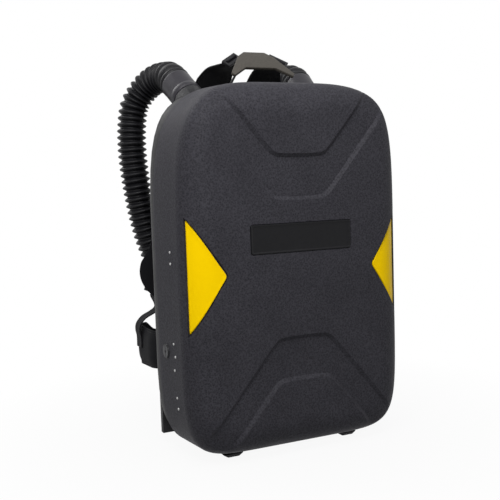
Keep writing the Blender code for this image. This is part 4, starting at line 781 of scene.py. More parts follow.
@dataclass
class Cover:
    """The lift-off front cover with its sunken bands, bare plate, side panels, rivets and locks."""

    # The shell: its wall, its rim as inset and distance from the rear, and how finely it is drawn
    wall: float = 0.005
    lip: float = 0.0006
    rim: Profile = ((0.0008, 0.0), (0.00035, 0.0003), (0.0002, 0.0009))
    wall_depths: tuple[float, ...] = (0.118, 0.106, 0.094, 0.082, 0.070)
    points: int = 240
    first_turn: float = math.radians(18.0)
    clear_turn: float = 0.05
    inner_rows: int = 18
    edge_rows: int = 11
    front_rows: int = 19
    grid: float = 0.0093
    grid_wide: int = 15
    grid_tall: int = 25
    # The sunken bands
    band_depth: float = 0.0045
    band_fade: float = 0.016
    band_fade_gain: float = 1.4
    band_corner: float = 0.043
    band_rise: float = 0.1035
    band_width: float = 0.0630
    band_slope: float = 1.2
    band_bend: float = 0.007
    band_edge: float = 0.0028
    band_lines: tuple[float, ...] = (-1.4, -1.0, 0.0, 1.0, 1.4)
    band_steps: int = 44
    band_room: float = 0.0015
    # The inlays: outlines, recesses, and levels as distance outside the outline and height above the skin
    line_step: float = 0.004
    plate_half: Flat = (0.085, 0.0225)
    plate_rise: float = 0.046
    plate_round: float = 0.0045
    plate_recess: float = 0.0020
    plate_low: float = -0.0018
    plate_levels: Profile = (
        (-0.0009, -0.0009), (-0.0012, 0.0001), (-0.0016, 0.0004), (-0.0032, 0.0004), (-0.0037, -0.0004),
        (-0.0043, -0.0006),
    )
    panel_outer: float = 0.1785
    panel_width: float = 0.0590
    panel_sink: float = 0.0026
    panel_belly: float = 0.5
    panel_height: float = 0.174
    panel_drop: float = 0.0035
    panel_round: float = 0.0095
    panel_recess: float = 0.0030
    panel_wider: float = 0.0020
    panel_low: float = -0.0026
    panel_levels: Profile = ((-0.0022, -0.0020), (-0.0025, -0.0008), (-0.0033, -0.0001), (-0.0044, -0.0004))
    recess_edge: float = 0.0005
    recess_outer: float = 0.0012
    recess_inner: float = 0.0020
    recess_room: Flat = (-0.0035, 0.0030)
    inlay_grid: float = 0.005
    inlay_room: float = 0.0015
    # The side walls: the rail inside, its rivets and the locks
    wall_lean: float = -0.066
    wall_step: float = 0.001
    rail_width: float = 0.009
    rail_thick: float = 0.0015
    rail_gap: float = 0.0023
    rail_end: float = 0.008
    rail_steps: int = 40
    rail_half: Profile = ((-1.0, 0.6), (-0.9, 1.0), (0.9, 1.0), (1.0, 0.6))
    rivet_depth: float = 0.065
    rivet_rises: tuple[float, ...] = (0.0310, 0.0140, -0.1055, -0.1243, -0.1455, -0.1870, -0.2040)
    rivet_ahead: tuple[float, ...] = (0.0, 0.0, 0.0, 0.0045, 0.0, 0.0015, 0.0015)
    rivet_radius: float = 0.0021
    rivet_shank: Profile = ((CORE, -0.0070), (0.0016, -0.0070), (0.0016, -0.0004))
    rivet_edge: float = 0.0004
    rivet_dome: float = 0.0010
    rivet_turns: tuple[float, ...] = (0.4, 0.8, 1.2)
    lock_depth: float = 0.095
    lock_rise: float = -0.1215
    lock_flush: float = 0.0006
    lock_kept: float = 0.38
    # Painted shade: the ring round the lock head is real and stands a little proud, and its black stands for
    # the shade in the groove round the head
    lock_ring_painted_shade: Profile = (
        (0.0101, -0.0005), (0.0101, 0.0006), (0.0104, 0.0011), (0.0110, 0.0011), (0.0116, 0.0003),
        (0.0116, -0.0005),
    )
    # Painted shade: the key recess is a real shallow dish, and its black disc stands for the shade in the
    # recess
    lock_key_painted_shade: Profile = (
        (CORE, -0.0010), (0.0024, -0.0010), (0.0024, 0.0001), (0.0019, 0.0003), (0.0017, -0.0002),
        (CORE, -0.0003),
    )

    def build(self) -> None:
        """Builds the whole cover."""
        self.build_skin()
        for name, sign in SIDES:
            panel = self.inlay(
                self.panel_corners(sign, self.panel_wider), self.panel_levels, self.panel_low, self.panel_sink
            )
            panel.make(f"side_panel_{name}_face", YELLOW, "cover", [f"side_panel_{name}"], sharp=60.0)
            self.build_rivets(name, sign)
            self.build_lock(name, sign)
        plate = self.inlay(self.plate_corners(), self.plate_levels, self.plate_low)
        plate.make("bare_plate", PLATE, "cover", ["nameplate"], sharp=60.0)

    def band_bound(self, across: float, lower: bool) -> Flat:
        """Gives the rise of a band's lower or upper bound and the share of it that is upright distance."""
        past = abs(across) - self.band_corner
        root = math.hypot(past, self.band_bend)
        rise = self.band_rise if lower else self.band_rise + self.band_width
        lean = self.band_slope * (1 + past / root) / 2
        return rise + self.band_slope * (past + root) / 2, 1 / math.hypot(1, lean)

    def band_share(self, across: float, height: float) -> float:
        """Gives how far inside a band a spot lies, in metres, or less than nothing outside it."""
        rise = abs(height - SHAPE.middle_z)
        low, low_share = self.band_bound(across, True)
        high, high_share = self.band_bound(across, False)
        return min((rise - low) * low_share, (high - rise) * high_share)

    def panel_corners(self, sign: int, wider: float = 0.0) -> list[Flat]:
        """Gives the outline of a side panel's recess, a triangle with a rounded tip, anticlockwise."""
        half = self.panel_height / 2
        lean = math.atan2(half, self.panel_width)
        middle = SHAPE.middle_z - self.panel_drop
        tip = self.panel_outer - self.panel_width + self.panel_round / math.sin(lean)
        corners = arc((tip, middle), self.panel_round, math.pi / 2 + lean, 1.5 * math.pi - lean, steps=8)
        outer = self.panel_outer + wider
        half += wider * math.tan(lean)
        corners += [(outer, middle - half), (outer, middle + half)]
        return corners if sign > 0 else [(-across, height) for across, height in reversed(corners)]

    def plate_corners(self) -> list[Flat]:
        """Gives the outline of the plate's recess, a rectangle with rounded corners, anticlockwise."""
        wide, tall = (size - self.plate_round for size in self.plate_half)
        middle = SHAPE.middle_z + self.plate_rise
        corners = []
        for turn, (across, rise) in enumerate(((wide, tall), (-wide, tall), (-wide, -tall), (wide, -tall))):
            first = math.pi / 2 * turn
            corners += arc((across, middle + rise), self.plate_round, first, first + math.pi / 2, steps=6)
        return corners

    def recesses(self) -> list[tuple[list[Flat], float, float]]:
        """Lists the inlay recesses as outline, depth and how much deeper they are at the cover's side."""
        found = [(self.panel_corners(sign), self.panel_recess, self.panel_sink) for _, sign in SIDES]
        return [*found, (self.plate_corners(), self.plate_recess, 0.0)]

    def side_share(self, across: float) -> float:
        """Gives how much of the extra depth of a panel's recess holds at a distance across."""
        share = clamp((abs(across) - self.panel_outer + self.panel_width) / self.panel_width)
        return share**2 + 4 * self.panel_belly * share * (1 - share)

    def feature_lines(self) -> list[list[Flat]]:
        """Draws the lines that the front skin's faces have to follow.

        Returns:
            Open lines along the bands' edges and closed lines round the recesses.
        """
        lines = []
        for sign in (1, -1):
            for lower in (True, False):
                for off in self.band_lines:
                    line = []
                    for i in range(-self.band_steps, self.band_steps + 1):
                        across = i * self.line_step
                        rise, share = self.band_bound(across, lower)
                        height = SHAPE.middle_z + sign * (rise + off * self.band_edge / share)
                        if self.front_room(across, height):
                            line.append((across, height))
                    lines.append(line)
        for corners, _, _ in self.recesses():
            for off in (self.recess_outer, 0.0, -self.recess_edge, -self.recess_inner):
                outline = offset_outline(corners, off, self.line_step)
                lines.append([*outline, outline[0]])
        return lines

    def front_room(self, across: float, height: float) -> bool:
        """Says whether a spot lies inside the part of the skin that is drawn face by face."""
        return SHAPE.holds(across, height, SHAPE.turn_ring(self.first_turn + self.clear_turn)[0])

    def near_feature(self, spot: Flat) -> bool:
        """Says whether a free point would crowd one of the feature lines."""
        if abs(self.band_share(*spot)) < self.band_edge + self.band_room:
            return True
        inner, outer = self.recess_room
        return any(inner < beyond(corners, spot) < outer for corners, _, _ in self.recesses())

    def wall_rings(self, angles: Sequence[float]) -> list[list[Vector]]:
        """Draws the shell's rings, from inside its front, round its rim, to the edge of the front skin."""
        turns = [math.pi / 2 * i / self.inner_rows for i in range(self.inner_rows, -1, -1)]
        rows = [SHAPE.turn_ring(turn, self.wall) for turn in turns]
        rim = ((self.wall, self.lip), (self.wall - self.lip, 0.0), *self.rim)
        rows += [(inset, SHAPE.cover_depth - ahead) for inset, ahead in rim]
        rows += [(SHAPE.side_inset(depth), depth) for depth in self.wall_depths]
        rows += [SHAPE.turn_ring(self.first_turn * i / self.edge_rows) for i in range(self.edge_rows + 1)]
        return [SHAPE.ring(angles, inset, depth) for inset, depth in rows]

    def front_plan(
        self, angles: Sequence[float], edge: Sequence[Flat]
    ) -> tuple[list[Flat], list[tuple[int, int]]]:
        """Lays out the points of the front skin.

        Args:
            angles: the angles of the outline's points.
            edge: the points of the skin's edge.

        Returns:
            The points, and the pairs of them that have to be joined.
        """
        spots = list(edge)
        joins = [(i, (i + 1) % self.points) for i in range(self.points)]
        for line in self.feature_lines():
            start = len(spots)
            spots += line
            joins += [(i, i + 1) for i in range(start, len(spots) - 1)]
        free = []
        for i in range(self.front_rows):
            turn = self.first_turn + (math.pi / 2 - self.first_turn) * (i + 1) / self.front_rows
            free += [(point.x, point.z) for point in SHAPE.ring(angles, SHAPE.turn_ring(turn)[0], 0.0)]
        rows = range(-self.grid_tall, self.grid_tall + 1)
        for i in range(-self.grid_wide, self.grid_wide + 1):
            free += [(i * self.grid, SHAPE.middle_z + j * self.grid) for j in rows]
        spots += [spot for spot in free if self.front_room(*spot) and not self.near_feature(spot)]
        return spots, joins

    def build_skin(self) -> None:
        """Builds the outer skin, its turned-in rim and the inside of the wall as one closed shell."""
        angles = SHAPE.even_angles(self.points)
        shape = Shape().loft(self.wall_rings(angles), caps=False)
        bm = shape.bm
        bm.verts.ensure_lookup_table()
        bm.faces.new(bm.verts[: self.points][::-1])
        edge = bm.verts[-self.points :]
        spots, joins = self.front_plan(angles, [(vert.co.x, vert.co.z) for vert in edge])
        flat = [Vector(spot) for spot in spots]
        points, _, faces, sources, _, _ = delaunay_2d_cdt(flat, joins, [], 1, SAME_POINT)
        skin = []
        for point, source in zip(points, sources):
            on_edge = [i for i in source if i < self.points]
            skin.append(edge[on_edge[0]] if on_edge else bm.verts.new(SHAPE.on_skin(*point)))
        for face in faces:
            if len(set(face)) == 3:
                bm.faces.new([skin[i] for i in face])
        bmesh.ops.recalc_face_normals(bm, faces=bm.faces[:])
        bm.normal_update()
        self.sink(skin)
        shape.make("cover_skin", CASE, "cover", ["front_cover"], sharp=24.0)

    def sink(self, skin: Sequence[bmesh.types.BMVert]) -> None:
        """Presses the bands and the inlay recesses into the front skin.

        Args:
            skin: the points of the front skin.
        """
        moves = []
        recesses = self.recesses()
        for vert in skin:
            spot = (vert.co.x, vert.co.z)
            move = Vector()
            share = clamp((self.band_share(*spot) + self.band_edge) / (2 * self.band_edge))
            depth = vert.co.y - SHAPE.front_y
            if share and self.front_room(*spot):
                fade = clamp((self.band_fade - depth) / self.band_fade * self.band_fade_gain)
                move.y = self.band_depth * fade * share
            for corners, recess, sink in recesses:
                inward = clamp(-beyond(corners, spot) / self.recess_edge)
                if inward:
                    move -= vert.normal * (inward * (recess + sink * self.side_share(spot[0])))
            moves.append(move)
        for vert, move in zip(skin, moves):
            vert.co += move

    def inlay(self, corners: Sequence[Flat], levels: Profile, low: float, sink: float = 0.0) -> Shape:
        """Builds an inlay that follows the cover's skin.

        Args:
            corners: the outline of its recess.
            levels: pairs of distance outside that outline and height above the skin, from the edge inwards.
            low: height of its underside above the skin.
            sink: how much deeper it lies at the cover's side.

        Returns:
            The inlay as a closed shape.
        """
        outlines = [offset_outline(corners, reach, self.line_step) for reach, _ in levels]
        spots: list[Flat] = []
        joins = []
        for outline in outlines:
            start = len(spots)
            spots += outline
            joins += [(start + i, start + (i + 1) % len(outline)) for i in range(len(outline))]
        (left, right), (bottom, top) = ((min(places), max(places)) for places in zip(*spots))
        for i in range(int((right - left) / self.inlay_grid)):
            for j in range(int((top - bottom) / self.inlay_grid)):
                spot = (left + i * self.inlay_grid, bottom + j * self.inlay_grid)
                if beyond(corners, spot) < levels[-1][0] - self.inlay_room:
                    spots.append(spot)
        flat = [Vector(spot) for spot in spots]
        points, _, faces, sources, _, _ = delaunay_2d_cdt(flat, joins, [], 1, SAME_POINT)
        shape = Shape()
        bm = shape.bm
        over = []
        under = []
        for point in points:
            where, out = SHAPE.on_skin(*point), SHAPE.skin_out(*point)
            rise = self.level_at(levels, beyond(corners, tuple(point)))
            drop = sink * self.side_share(where.x)
            over.append(bm.verts.new(where + out * (rise - drop)))
            under.append(bm.verts.new(where + out * (low - drop)))
        for face in faces:
            bm.faces.new([over[i] for i in face])
            bm.faces.new([under[i] for i in reversed(face)])
        place_of = {source: i for i, found in enumerate(sources) for source in found}
        edge = [place_of[i] for i in range(len(outlines[0]))]
        for one, two in zip(edge, edge[1:] + edge[:1]):
            if one != two:
                bm.faces.new((over[one], over[two], under[two], under[one]))
        return shape

    @staticmethod
    def level_at(levels: Profile, reach: float) -> float:
        """Reads an inlay's height above the skin at a distance outside its recess's outline."""
        for (far, high), (near, low) in zip(levels, levels[1:]):
            if reach >= near:
                return high + (low - high) * clamp((far - reach) / (far - near))
        return levels[-1][1]

    def wall_out(self, rise: float, sign: int, depth: float) -> tuple[Vector, Vector]:
        """Gives a spot on a side wall and the wall's outward direction there."""
        step = self.wall_step
        inset = SHAPE.side_inset(depth)
        slope = (SHAPE.wall_x(rise + step, inset) - SHAPE.wall_x(rise - step, inset)) / (2 * step)
        seat = SHAPE.place(sign * SHAPE.wall_x(rise, inset), depth, SHAPE.middle_z + rise)
        return seat, Vector((sign, self.wall_lean, -slope)).normalized()

    def build_rivets(self, name: str, sign: int) -> None:
        """Builds the rail inside a side wall and the small domed rivets that hold it."""
        inset = SHAPE.side_inset(self.rivet_depth - self.rail_width / 2) + self.wall + self.rail_gap
        top = max(self.rivet_rises) + self.rail_end
        low = min(self.rivet_rises) - self.rail_end
        rises = [top + (low - top) * i / self.rail_steps for i in range(self.rail_steps + 1)]
        route = [(SHAPE.wall_x(rise, inset), self.rivet_depth, SHAPE.middle_z + rise) for rise in rises]
        line = SHAPE.mirrored(route, sign)
        shape = Shape().ribbon(line, BACK, self.rail_width, self.rail_thick, both_faces(self.rail_half))
        shape.make(f"cover_rail_{name}_strip", STEEL, "cover", [f"cover_rail_{name}"])
        radius, edge, dome = self.rivet_radius, self.rivet_edge, self.rivet_dome
        profile = [*self.rivet_shank, (radius, -edge), (radius, edge)]
        profile += [(radius * math.cos(turn), edge + dome * math.sin(turn)) for turn in self.rivet_turns]
        profile.append((CORE, edge + dome))
        for i, (rise, ahead) in enumerate(zip(self.rivet_rises, self.rivet_ahead)):
            seat, out = self.wall_out(rise, sign, self.rivet_depth - ahead)
            Shape().lathe(profile, seat, out, sides=24).make(f"rivet_{name}_{i}", RIVET, "cover")

    def build_lock(self, name: str, sign: int) -> None:
        """Builds a quarter-turn lock: its cam, and a flattened head in a ring with a key recess. The ring and
        the recess are black as painted shade of the groove round the head and of the recess.
        """
        lock = f"lock_{name}"
        seat, out = self.wall_out(self.lock_rise, sign, self.lock_depth)
        shape = node_mesh(lock)
        top = 0.0
        for vert in shape.bm.verts:
            proud = (vert.co - seat).dot(out) - self.lock_flush
            if proud > 0.0:
                vert.co -= out * proud * (1 - self.lock_kept)
                top = max(top, proud)
        shape.make(f"{lock}_cam", LOCK, lock, [lock], sharp=40.0)
        # painted shade: the black ring stands for the shade in the groove round the head
        Shape().lathe(self.lock_ring_painted_shade, seat, out).make(f"lock_ring_painted_shade_{name}", BLACK, "cover")
        face = seat + out * (self.lock_flush + top * self.lock_kept)
        # painted shade: the black key disc stands for the shade in the key recess
        Shape().lathe(self.lock_key_painted_shade, face, out, sides=24).make(f"lock_key_painted_shade_{name}", BLACK, lock)


@dataclass
class Tray:
    """The rear tray of the case, with its lip, corner plates and feet."""

    edge: float = 0.0008
    foot_edge: float = 0.0014

    def build(self) -> None:
        """Builds the tray shell and the feet."""
        refine("back_frame", TRAY, self.edge, sharp=50.0)
        for name, _ in SIDES:
            refine(f"foot_{name}", RUBBER, self.foot_edge)


@dataclass
class Hoses:
    """The two corrugated breathing hoses with their cuffs, clamps, collars and shared connector."""

    radius: float = 0.0240
    proud: float = 0.0010
    root: float = 0.0190
    pitch: float = 0.0106
    ridge_points: int = 10
    sides: int = 44
    # The broad, shallow ridges next to the cuff
    broad: float = 0.045
    broad_pitch: float = 0.35
    broad_root: float = 0.0022
    ridge_power: float = 0.8
    broad_power: float = 0.4
    connector: Triple = (0.0363, 0.300, 0.228)
    connector_edge: float = 0.0012
    nut_edge: float = 0.0008
    route: tuple[Triple, ...] = (
        (0.1150, 0.2470, 0.5965),
        (0.1235, 0.2700, 0.5960),
        (0.1360, 0.2890, 0.5855),
        (0.1485, 0.3005, 0.5675),
        (0.1570, 0.3045, 0.5480),
        (0.1620, 0.3050, 0.5150),
        (0.1630, 0.3045, 0.4750),
        (0.1600, 0.3030, 0.4300),
        (0.1515, 0.3015, 0.3700),
        (0.1380, 0.3005, 0.3150),
        (0.1170, 0.3000, 0.2700),
        (0.0880, 0.3000, 0.2420),
        (0.0590, 0.3000, 0.2300),
    )
    # The spigot's flange on the tray and the way it points
    flange: Triple = (0.1075, 0.0175, 0.5505)
    flange_way: Triple = (0.1002, 0.8216, 0.5611)
    spigot_edge: float = 0.0005
    # The cuff and its clamp, as distance outside the cuff's radius and distance along its axis
    cuff_radius: float = 0.0255
    cuff_sides: int = 64
    bore: float = 0.0168
    clamp_band: Profile = (
        (-0.0012, 0.0062), (0.0, 0.0062), (0.0003, 0.0066), (0.0003, 0.0154), (0.0, 0.0158),
        (-0.0012, 0.0158),
    )
    sleeve: Profile = (
        (-0.0010, 0.0036), (-0.0002, 0.0044), (0.0, 0.0056), (0.0, 0.0460), (0.0004, 0.0490),
        (0.0002, 0.0510), (-0.0012, 0.0520),
    )
    # The ringed collar, from the sleeve's end to its own
    collar_low: float = 0.0522
    collar_ring: Flat = (0.0534, 0.0634)
    collar_top: float = 0.0636
    collar_inset: float = 0.0022
    collar_swell: float = 0.0032
    collar_fall: float = 0.0006
    collar_power: float = 0.45
    collar_steps: int = 8
    gap: float = 0.0003

    def seat(self, sign: int) -> tuple[Vector, Vector]:
        """Gives where a spigot's flange sits on the tray, and the direction that it points in."""
        turn = Vector((sign, 1.0, 1.0))
        return Vector(self.flange) * turn, (Vector(self.flange_way) * turn).normalized()

    def line(self, sign: int) -> list[Vector]:
        """Draws a hose's middle line from its cuff to the connector."""
        seat, axis = self.seat(sign)
        start = seat + axis * (self.collar_top + self.gap)
        lead = start + axis * self.radius / 2
        *route, end = SHAPE.mirrored([*self.route, self.connector], sign)
        before = end + RIGHT * (sign * self.radius / 2)
        line = smooth_line([start, lead, *route, before, end], steps=16)
        return resample(line, self.pitch / self.ridge_points)

    def build(self) -> None:
        """Builds both hoses and what is on their ends."""
        ends = {
            "left": refine("mask_connector", BLACK, self.connector_edge),
            "right": refine("coupling_nut", BLACK, self.nut_edge),
        }
        for name, sign in SIDES:
            self.build_hose(name, sign)
            self.build_cuff(name, sign)

    def build_hose(self, name: str, sign: int) -> None:
        """Args:
            name: its side.
            sign: which way across it lies.
        """
        line = self.line(sign)
        step = (line[1] - line[0]).length
        shares = [max(0.0, 1 - i * step / self.broad) for i in range(len(line))]
        phases = [0.0]
        for share in shares[1:]:
            phases.append(phases[-1] + step / (self.pitch * (1 + self.broad_pitch * share)))
        ridges = round(phases[-1])
        radii = []
        for share, phase in zip(shares, phases):
            wave = (1 - math.cos(2 * math.pi * ridges * phase / phases[-1])) / 2
            root = self.root + self.broad_root * share
            power = self.ridge_power - self.broad_power * share
            radii.append(root + (self.radius + self.proud - root) * wave**power)
        piece = Shape().tube(line, radii, self.sides).make(
            f"breathing_hose_{name}", HOSE, "base", [f"hose_{name}"], sharp=80.0
        )

    def build_cuff(self, name: str, sign: int) -> None:
        """Builds the spigot, the smooth cuff on it, its clamp and the ringed rubber collar."""
        seat, axis = self.seat(sign)
        wide = self.cuff_radius
        refine(f"spigot_{name}", CUFF, self.spigot_edge)
        band = [(wide + off, along) for off, along in self.clamp_band]
        sleeve = [(wide + off, along) for off, along in self.sleeve]
        sleeve = [(self.bore, sleeve[0][1]), *sleeve, (self.bore, sleeve[-1][1])]
        for node, ending, profile in (
            (f"hose_clamp_{name}", "band", band),
            (f"hose_cuff_{name}", "sleeve", sleeve),
        ):
            shape = Shape().lathe(profile, seat, axis, self.cuff_sides)
            shape.make(f"{node}_{ending}", CUFF, "base", [node], sharp=50.0)
        collar = [(self.bore, self.collar_low), (wide - self.collar_inset, self.collar_low)]
        first, last = self.collar_ring
        for i in range(self.collar_steps + 1):
            share = i / self.collar_steps
            swell_out = self.collar_swell * abs(math.sin(math.pi * share)) ** self.collar_power
            radius = wide - self.collar_inset - self.collar_fall * share + swell_out
            collar.append((radius, first + (last - first) * share))
        collar.append((self.bore, self.collar_top))
        shape = Shape().lathe(collar, seat, axis, self.cuff_sides)
        shape.make(f"hose_collar_{name}", HOSE, "base", sharp=60.0)


@dataclass
class CarryHandle:
    """The carry handle on its two links, with the strap sliders behind its shoulders."""

    edge: float = 0.0014
    slider_edge: float = 0.0008

    def build(self) -> None:
        """Builds the handle, the links and the sliders."""
        refine("carry_handle", HANDLE, self.edge, steps=3)
        for name, _ in SIDES:
            refine(f"handle_link_{name}", STEEL, 0.0)
            refine(f"strap_slider_{name}", BLACK, self.slider_edge)


@dataclass
class Harness:
    """The padded shoulder straps, webbing, back pad, lumbar pad, hip belt and buckle."""

    fit: float = 0.0003
    buckle_edge: float = 0.0015
    # Where the straps start, behind the sliders on the handle's shoulders
    handle_base: Triple = (0.0, 0.112, 0.585)
    handle_lean: Triple = (0.0, 0.68, 0.735)
    slider_off: float = 0.041
    slider_tilt: float = math.radians(38.0)
    # The shoulder straps, with steps counted in points of the line
    strap_back: float = 0.0137
    strap_width: float = 0.062
    strap_neck: float = 0.034
    strap_neck_steps: int = 16
    strap_thick: float = 0.012
    strap_thin: float = 0.55
    strap_thin_steps: int = 28
    strap_end: float = 0.026
    strap_tip: float = 0.030
    strap_step: float = 0.004
    channel_pitch: int = 14
    channel_half: float = 1.6
    channel_sink: float = 0.35
    channel_first: int = 20
    channel_last: int = 8
    seam_first: int = 6
    seam_share: float = 0.88
    seam_lift: float = 0.12
    strap_route: tuple[Triple, ...] = (
        (0.0430, 0.1900, 0.6000),
        (0.0500, 0.2280, 0.5620),
        (0.0601, 0.2520, 0.5080),
        (0.0741, 0.2650, 0.4450),
        (0.0940, 0.2680, 0.3750),
        (0.1200, 0.2630, 0.3100),
        (0.1440, 0.2520, 0.2560),
    )
    # The flaps over the adjusters
    flap_width: float = 0.077
    flap_corner: float = 0.385
    flap_above: float = 0.049
    flap_long: float = 0.079
    flap_lift: float = 0.0066
    flap_settle: float = 0.0012
    flap_thick: float = 0.0034
    flap_tip: float = 0.004
    flap_round: float = 2.4
    flap_power: float = 0.72
    flap_steps: int = 40
    # The lower webbing and the loops in the slots
    adjuster_length: float = 0.024
    adjuster_edge: float = 0.0010
    adjuster_slot: float = 0.525
    webbing_width: float = 0.025
    webbing_thick: float = 0.0024
    webbing_lead: float = 0.006
    webbing_step: float = 0.0025
    webbing_depth: float = 0.249
    webbing_drop: float = 0.0175
    webbing_half: Profile = (
        (-1.0, 0.35), (-0.97, 0.85), (-0.92, 1.0), (-0.84, 0.82), (0.0, 0.78), (0.84, 0.82), (0.92, 1.0),
        (0.97, 0.85), (1.0, 0.35),
    )
    bulge: tuple[Triple, ...] = (
        (0.1500, 0.2490, 0.2165),
        (0.1495, 0.2490, 0.2085),
        (0.1585, 0.2490, 0.2020),
        (0.1732, 0.2490, 0.1948),
        (0.1826, 0.2490, 0.1842),
        (0.1844, 0.2490, 0.1735),
    )
    loop_back: float = 0.0058
    loop_thick: float = 0.0036
    loop_sway: float = 0.0018
    loop_steps: int = 40
    slider_loop: Flat = (0.0256, 0.0030)
    adjuster_loop: Flat = (0.0246, 0.0042)
    # The hip belt, with the rings that hang from tabs on its corners
    belt_out: float = 0.176
    belt_low: float = 0.111
    belt_height: float = 0.069
    belt_strap: float = 0.040
    belt_thick: float = 0.010
    belt_lift: float = 0.011
    belt_lift_power: float = 0.7
    belt_corner: float = 0.030
    belt_depths: Flat = (0.012, 0.121)
    belt_start: float = 0.0903
    belt_end: float = 0.0423
    belt_padded: float = 0.60
    belt_fade: int = 5
    belt_thinner: float = 0.55
    ring_seat: Triple = (0.1618, 0.0297, 0.1338)
    ring_way: Flat = (0.450, -0.893)
    ring_lift: float = 0.0026
    ring_radius: float = 0.0070
    ring_top: float = 0.0060
    ring_wire: float = 0.0021
    ring_step: float = 0.0015
    tab_width: float = 0.0110
    tab_thick: float = 0.0016
    tab_loop: Triple = (0.0050, 0.0030, 0.0026)
    tab_turns: Triple = (1.2, 0.0, -1.2)
    tab_ends: Profile = ((0.0190, 0.0016), (0.0, 0.0020))

    def build(self) -> None:
        """Builds the whole harness."""
        for name, sign in SIDES:
            low, down = self.build_strap(name, sign)
            refine(f"strap_adjuster_{name}", BLACK, self.adjuster_edge)
            self.build_webbing(name, sign, low, down)
            self.build_loops(name, sign, low, down)
            self.build_belt(name, sign)
            self.build_ring(name, sign)
        for node in ("buckle_socket", "buckle_prong"):
            refine(node, BLACK, self.buckle_edge, steps=3)
        Pad(
            "back_pad", SHAPE.place(0.0, 0.1653, 0.381), width=0.170, height=0.238, thick=0.016,
            channels=(-0.030, 0.030),
        ).build()
        Pad(
            "lumbar_pad", SHAPE.place(0.0, 0.1653, 0.130), width=0.180, height=0.140, thick=0.024,
            channels=(0.0,),
        ).build()

    @staticmethod
    def padded_section() -> list[Flat]:
        """Draws the section of a padded strap: a crowned middle between flat sewn edges."""
        steps, rim, edge = 16, 0.80, 0.24
        roundness, fall = 3, 0.6
        half = []
        for i in range(steps + 1):
            across = -1 + 2 * i / steps
            crown = max(0.0, 1 - (abs(across) / rim) ** roundness) ** fall
            half.append((across, edge + (1 - edge) * crown))
        return both_faces(half)

    def web(
        self,
        name: str,
        line: Sequence[Vector],
        axis: Vector,
        width: float,
        thick: float,
        nodes: Sequence[str] = (),
    ) -> None:
        """Builds a piece of flat webbing with thicker, rounded selvedges.

        Args:
            name: the piece's name.
            line: its middle line.
            axis: the direction of its width.
            width: its width.
            thick: its thickness.
            nodes: the solids that it stands for.
        """
        shape = Shape().ribbon(line, axis, width, thick, both_faces(self.webbing_half))
        shape.make(name, WEBBING, "base", nodes, sharp=60.0)

    def sew(
        self,
        rows: Shape,
        line: Sequence[Vector],
        acrosses: Sequence[Vector],
        sizes: Sequence[Flat],
        face: int,
        span: range,
    ) -> None:
        """Sews a row of stitches along both edges of a padded strap's face.

        Args:
            rows: the shape that the stitches go into.
            line: the strap's middle line.
            acrosses: the direction of its width at each point.
            sizes: its width and thickness at each point.
            face: which of its faces is sewn, 1 or -1.
            span: the points from which to which it is sewn.
        """
        for edge in (-self.seam_share, self.seam_share):
            row = []
            outs = []
            for i in span:
                width, thick = sizes[i]
                out = heading(line, i).cross(acrosses[i]).normalized() * face
                row.append(line[i] + acrosses[i] * (edge * width / 2) + out * (thick * self.seam_lift))
                outs.append(out)
            rows.stitches(row, outs)

    def slider_frame(self, sign: int) -> tuple[Vector, Vector, Vector]:
        """Gives a slider's middle on the handle, and the handle's upward and backward directions."""
        lean = Vector(self.handle_lean).normalized()
        middle = SHAPE.place(*self.handle_base) + RIGHT * (sign * self.slider_off) + lean * self.slider_off
        return middle, lean, Vector((0.0, lean.z, -lean.y))

    def strap_sizes(self, count: int, step: float) -> list[Flat]:
        """Gives a shoulder strap's width and thickness at each point.

        Args:
            count: how many points its line has.
            step: the distance between them.

        Returns:
            Pairs of width and thickness, from the slider down.
        """
        sizes = []
        for i in range(count):
            neck = self.strap_neck + (self.strap_width - self.strap_neck) * i / self.strap_neck_steps
            left = min((count - 1 - i) * step / self.strap_end, 1.0)
            tip = self.strap_tip + (self.strap_width - self.strap_tip) * math.sqrt(left * (2 - left))
            channel = 0.0
            if self.channel_first < i < count - self.channel_last:
                off = abs(i % self.channel_pitch - self.channel_pitch // 2)
                channel = max(0.0, 1 - off / self.channel_half)
            taper = min(1.0, self.strap_thin + i / self.strap_thin_steps)
            thick = self.strap_thick * taper * (1 - self.channel_sink * channel)
            sizes.append((min(self.strap_width, neck, tip), thick))
        return sizes

    def build_strap(self, name: str, sign: int) -> tuple[Vector, Vector]:
        """Builds a padded shoulder strap with its sewn channels and edge stitching.

        Args:
            name: its side.
            sign: which way across it lies.

        Returns:
            The lower end of the strap's adjuster and the strap's direction there.
        """
        middle, _, back = self.slider_frame(sign)
        route = [middle + back * self.strap_back, *SHAPE.mirrored(self.strap_route, sign)]
        line = resample(smooth_line(route, steps=24), self.strap_step)
        count = len(line)
        sizes = self.strap_sizes(count, (line[1] - line[0]).length)
        widths, thicks = zip(*sizes)
        shape = Shape().ribbon(line, RIGHT, widths, thicks, self.padded_section())
        node = f"shoulder_strap_{name}"
        piece = shape.make(f"{node}_pad", FABRIC, "base", [node], sharp=70.0)
        acrosses = [(RIGHT - RIGHT.project(heading(line, i))).normalized() for i in range(count)]
        rows = Shape()
        for face in (-1, 1):
            self.sew(rows, line, acrosses, sizes, face, range(self.seam_first, count))
        rows.make(f"strap_stitching_{name}", THREAD)
        down = (line[-1] - line[-2]).normalized()
        self.build_flap(name, line[-1], down)
        return line[-1] + down * (self.fit + self.adjuster_length), down

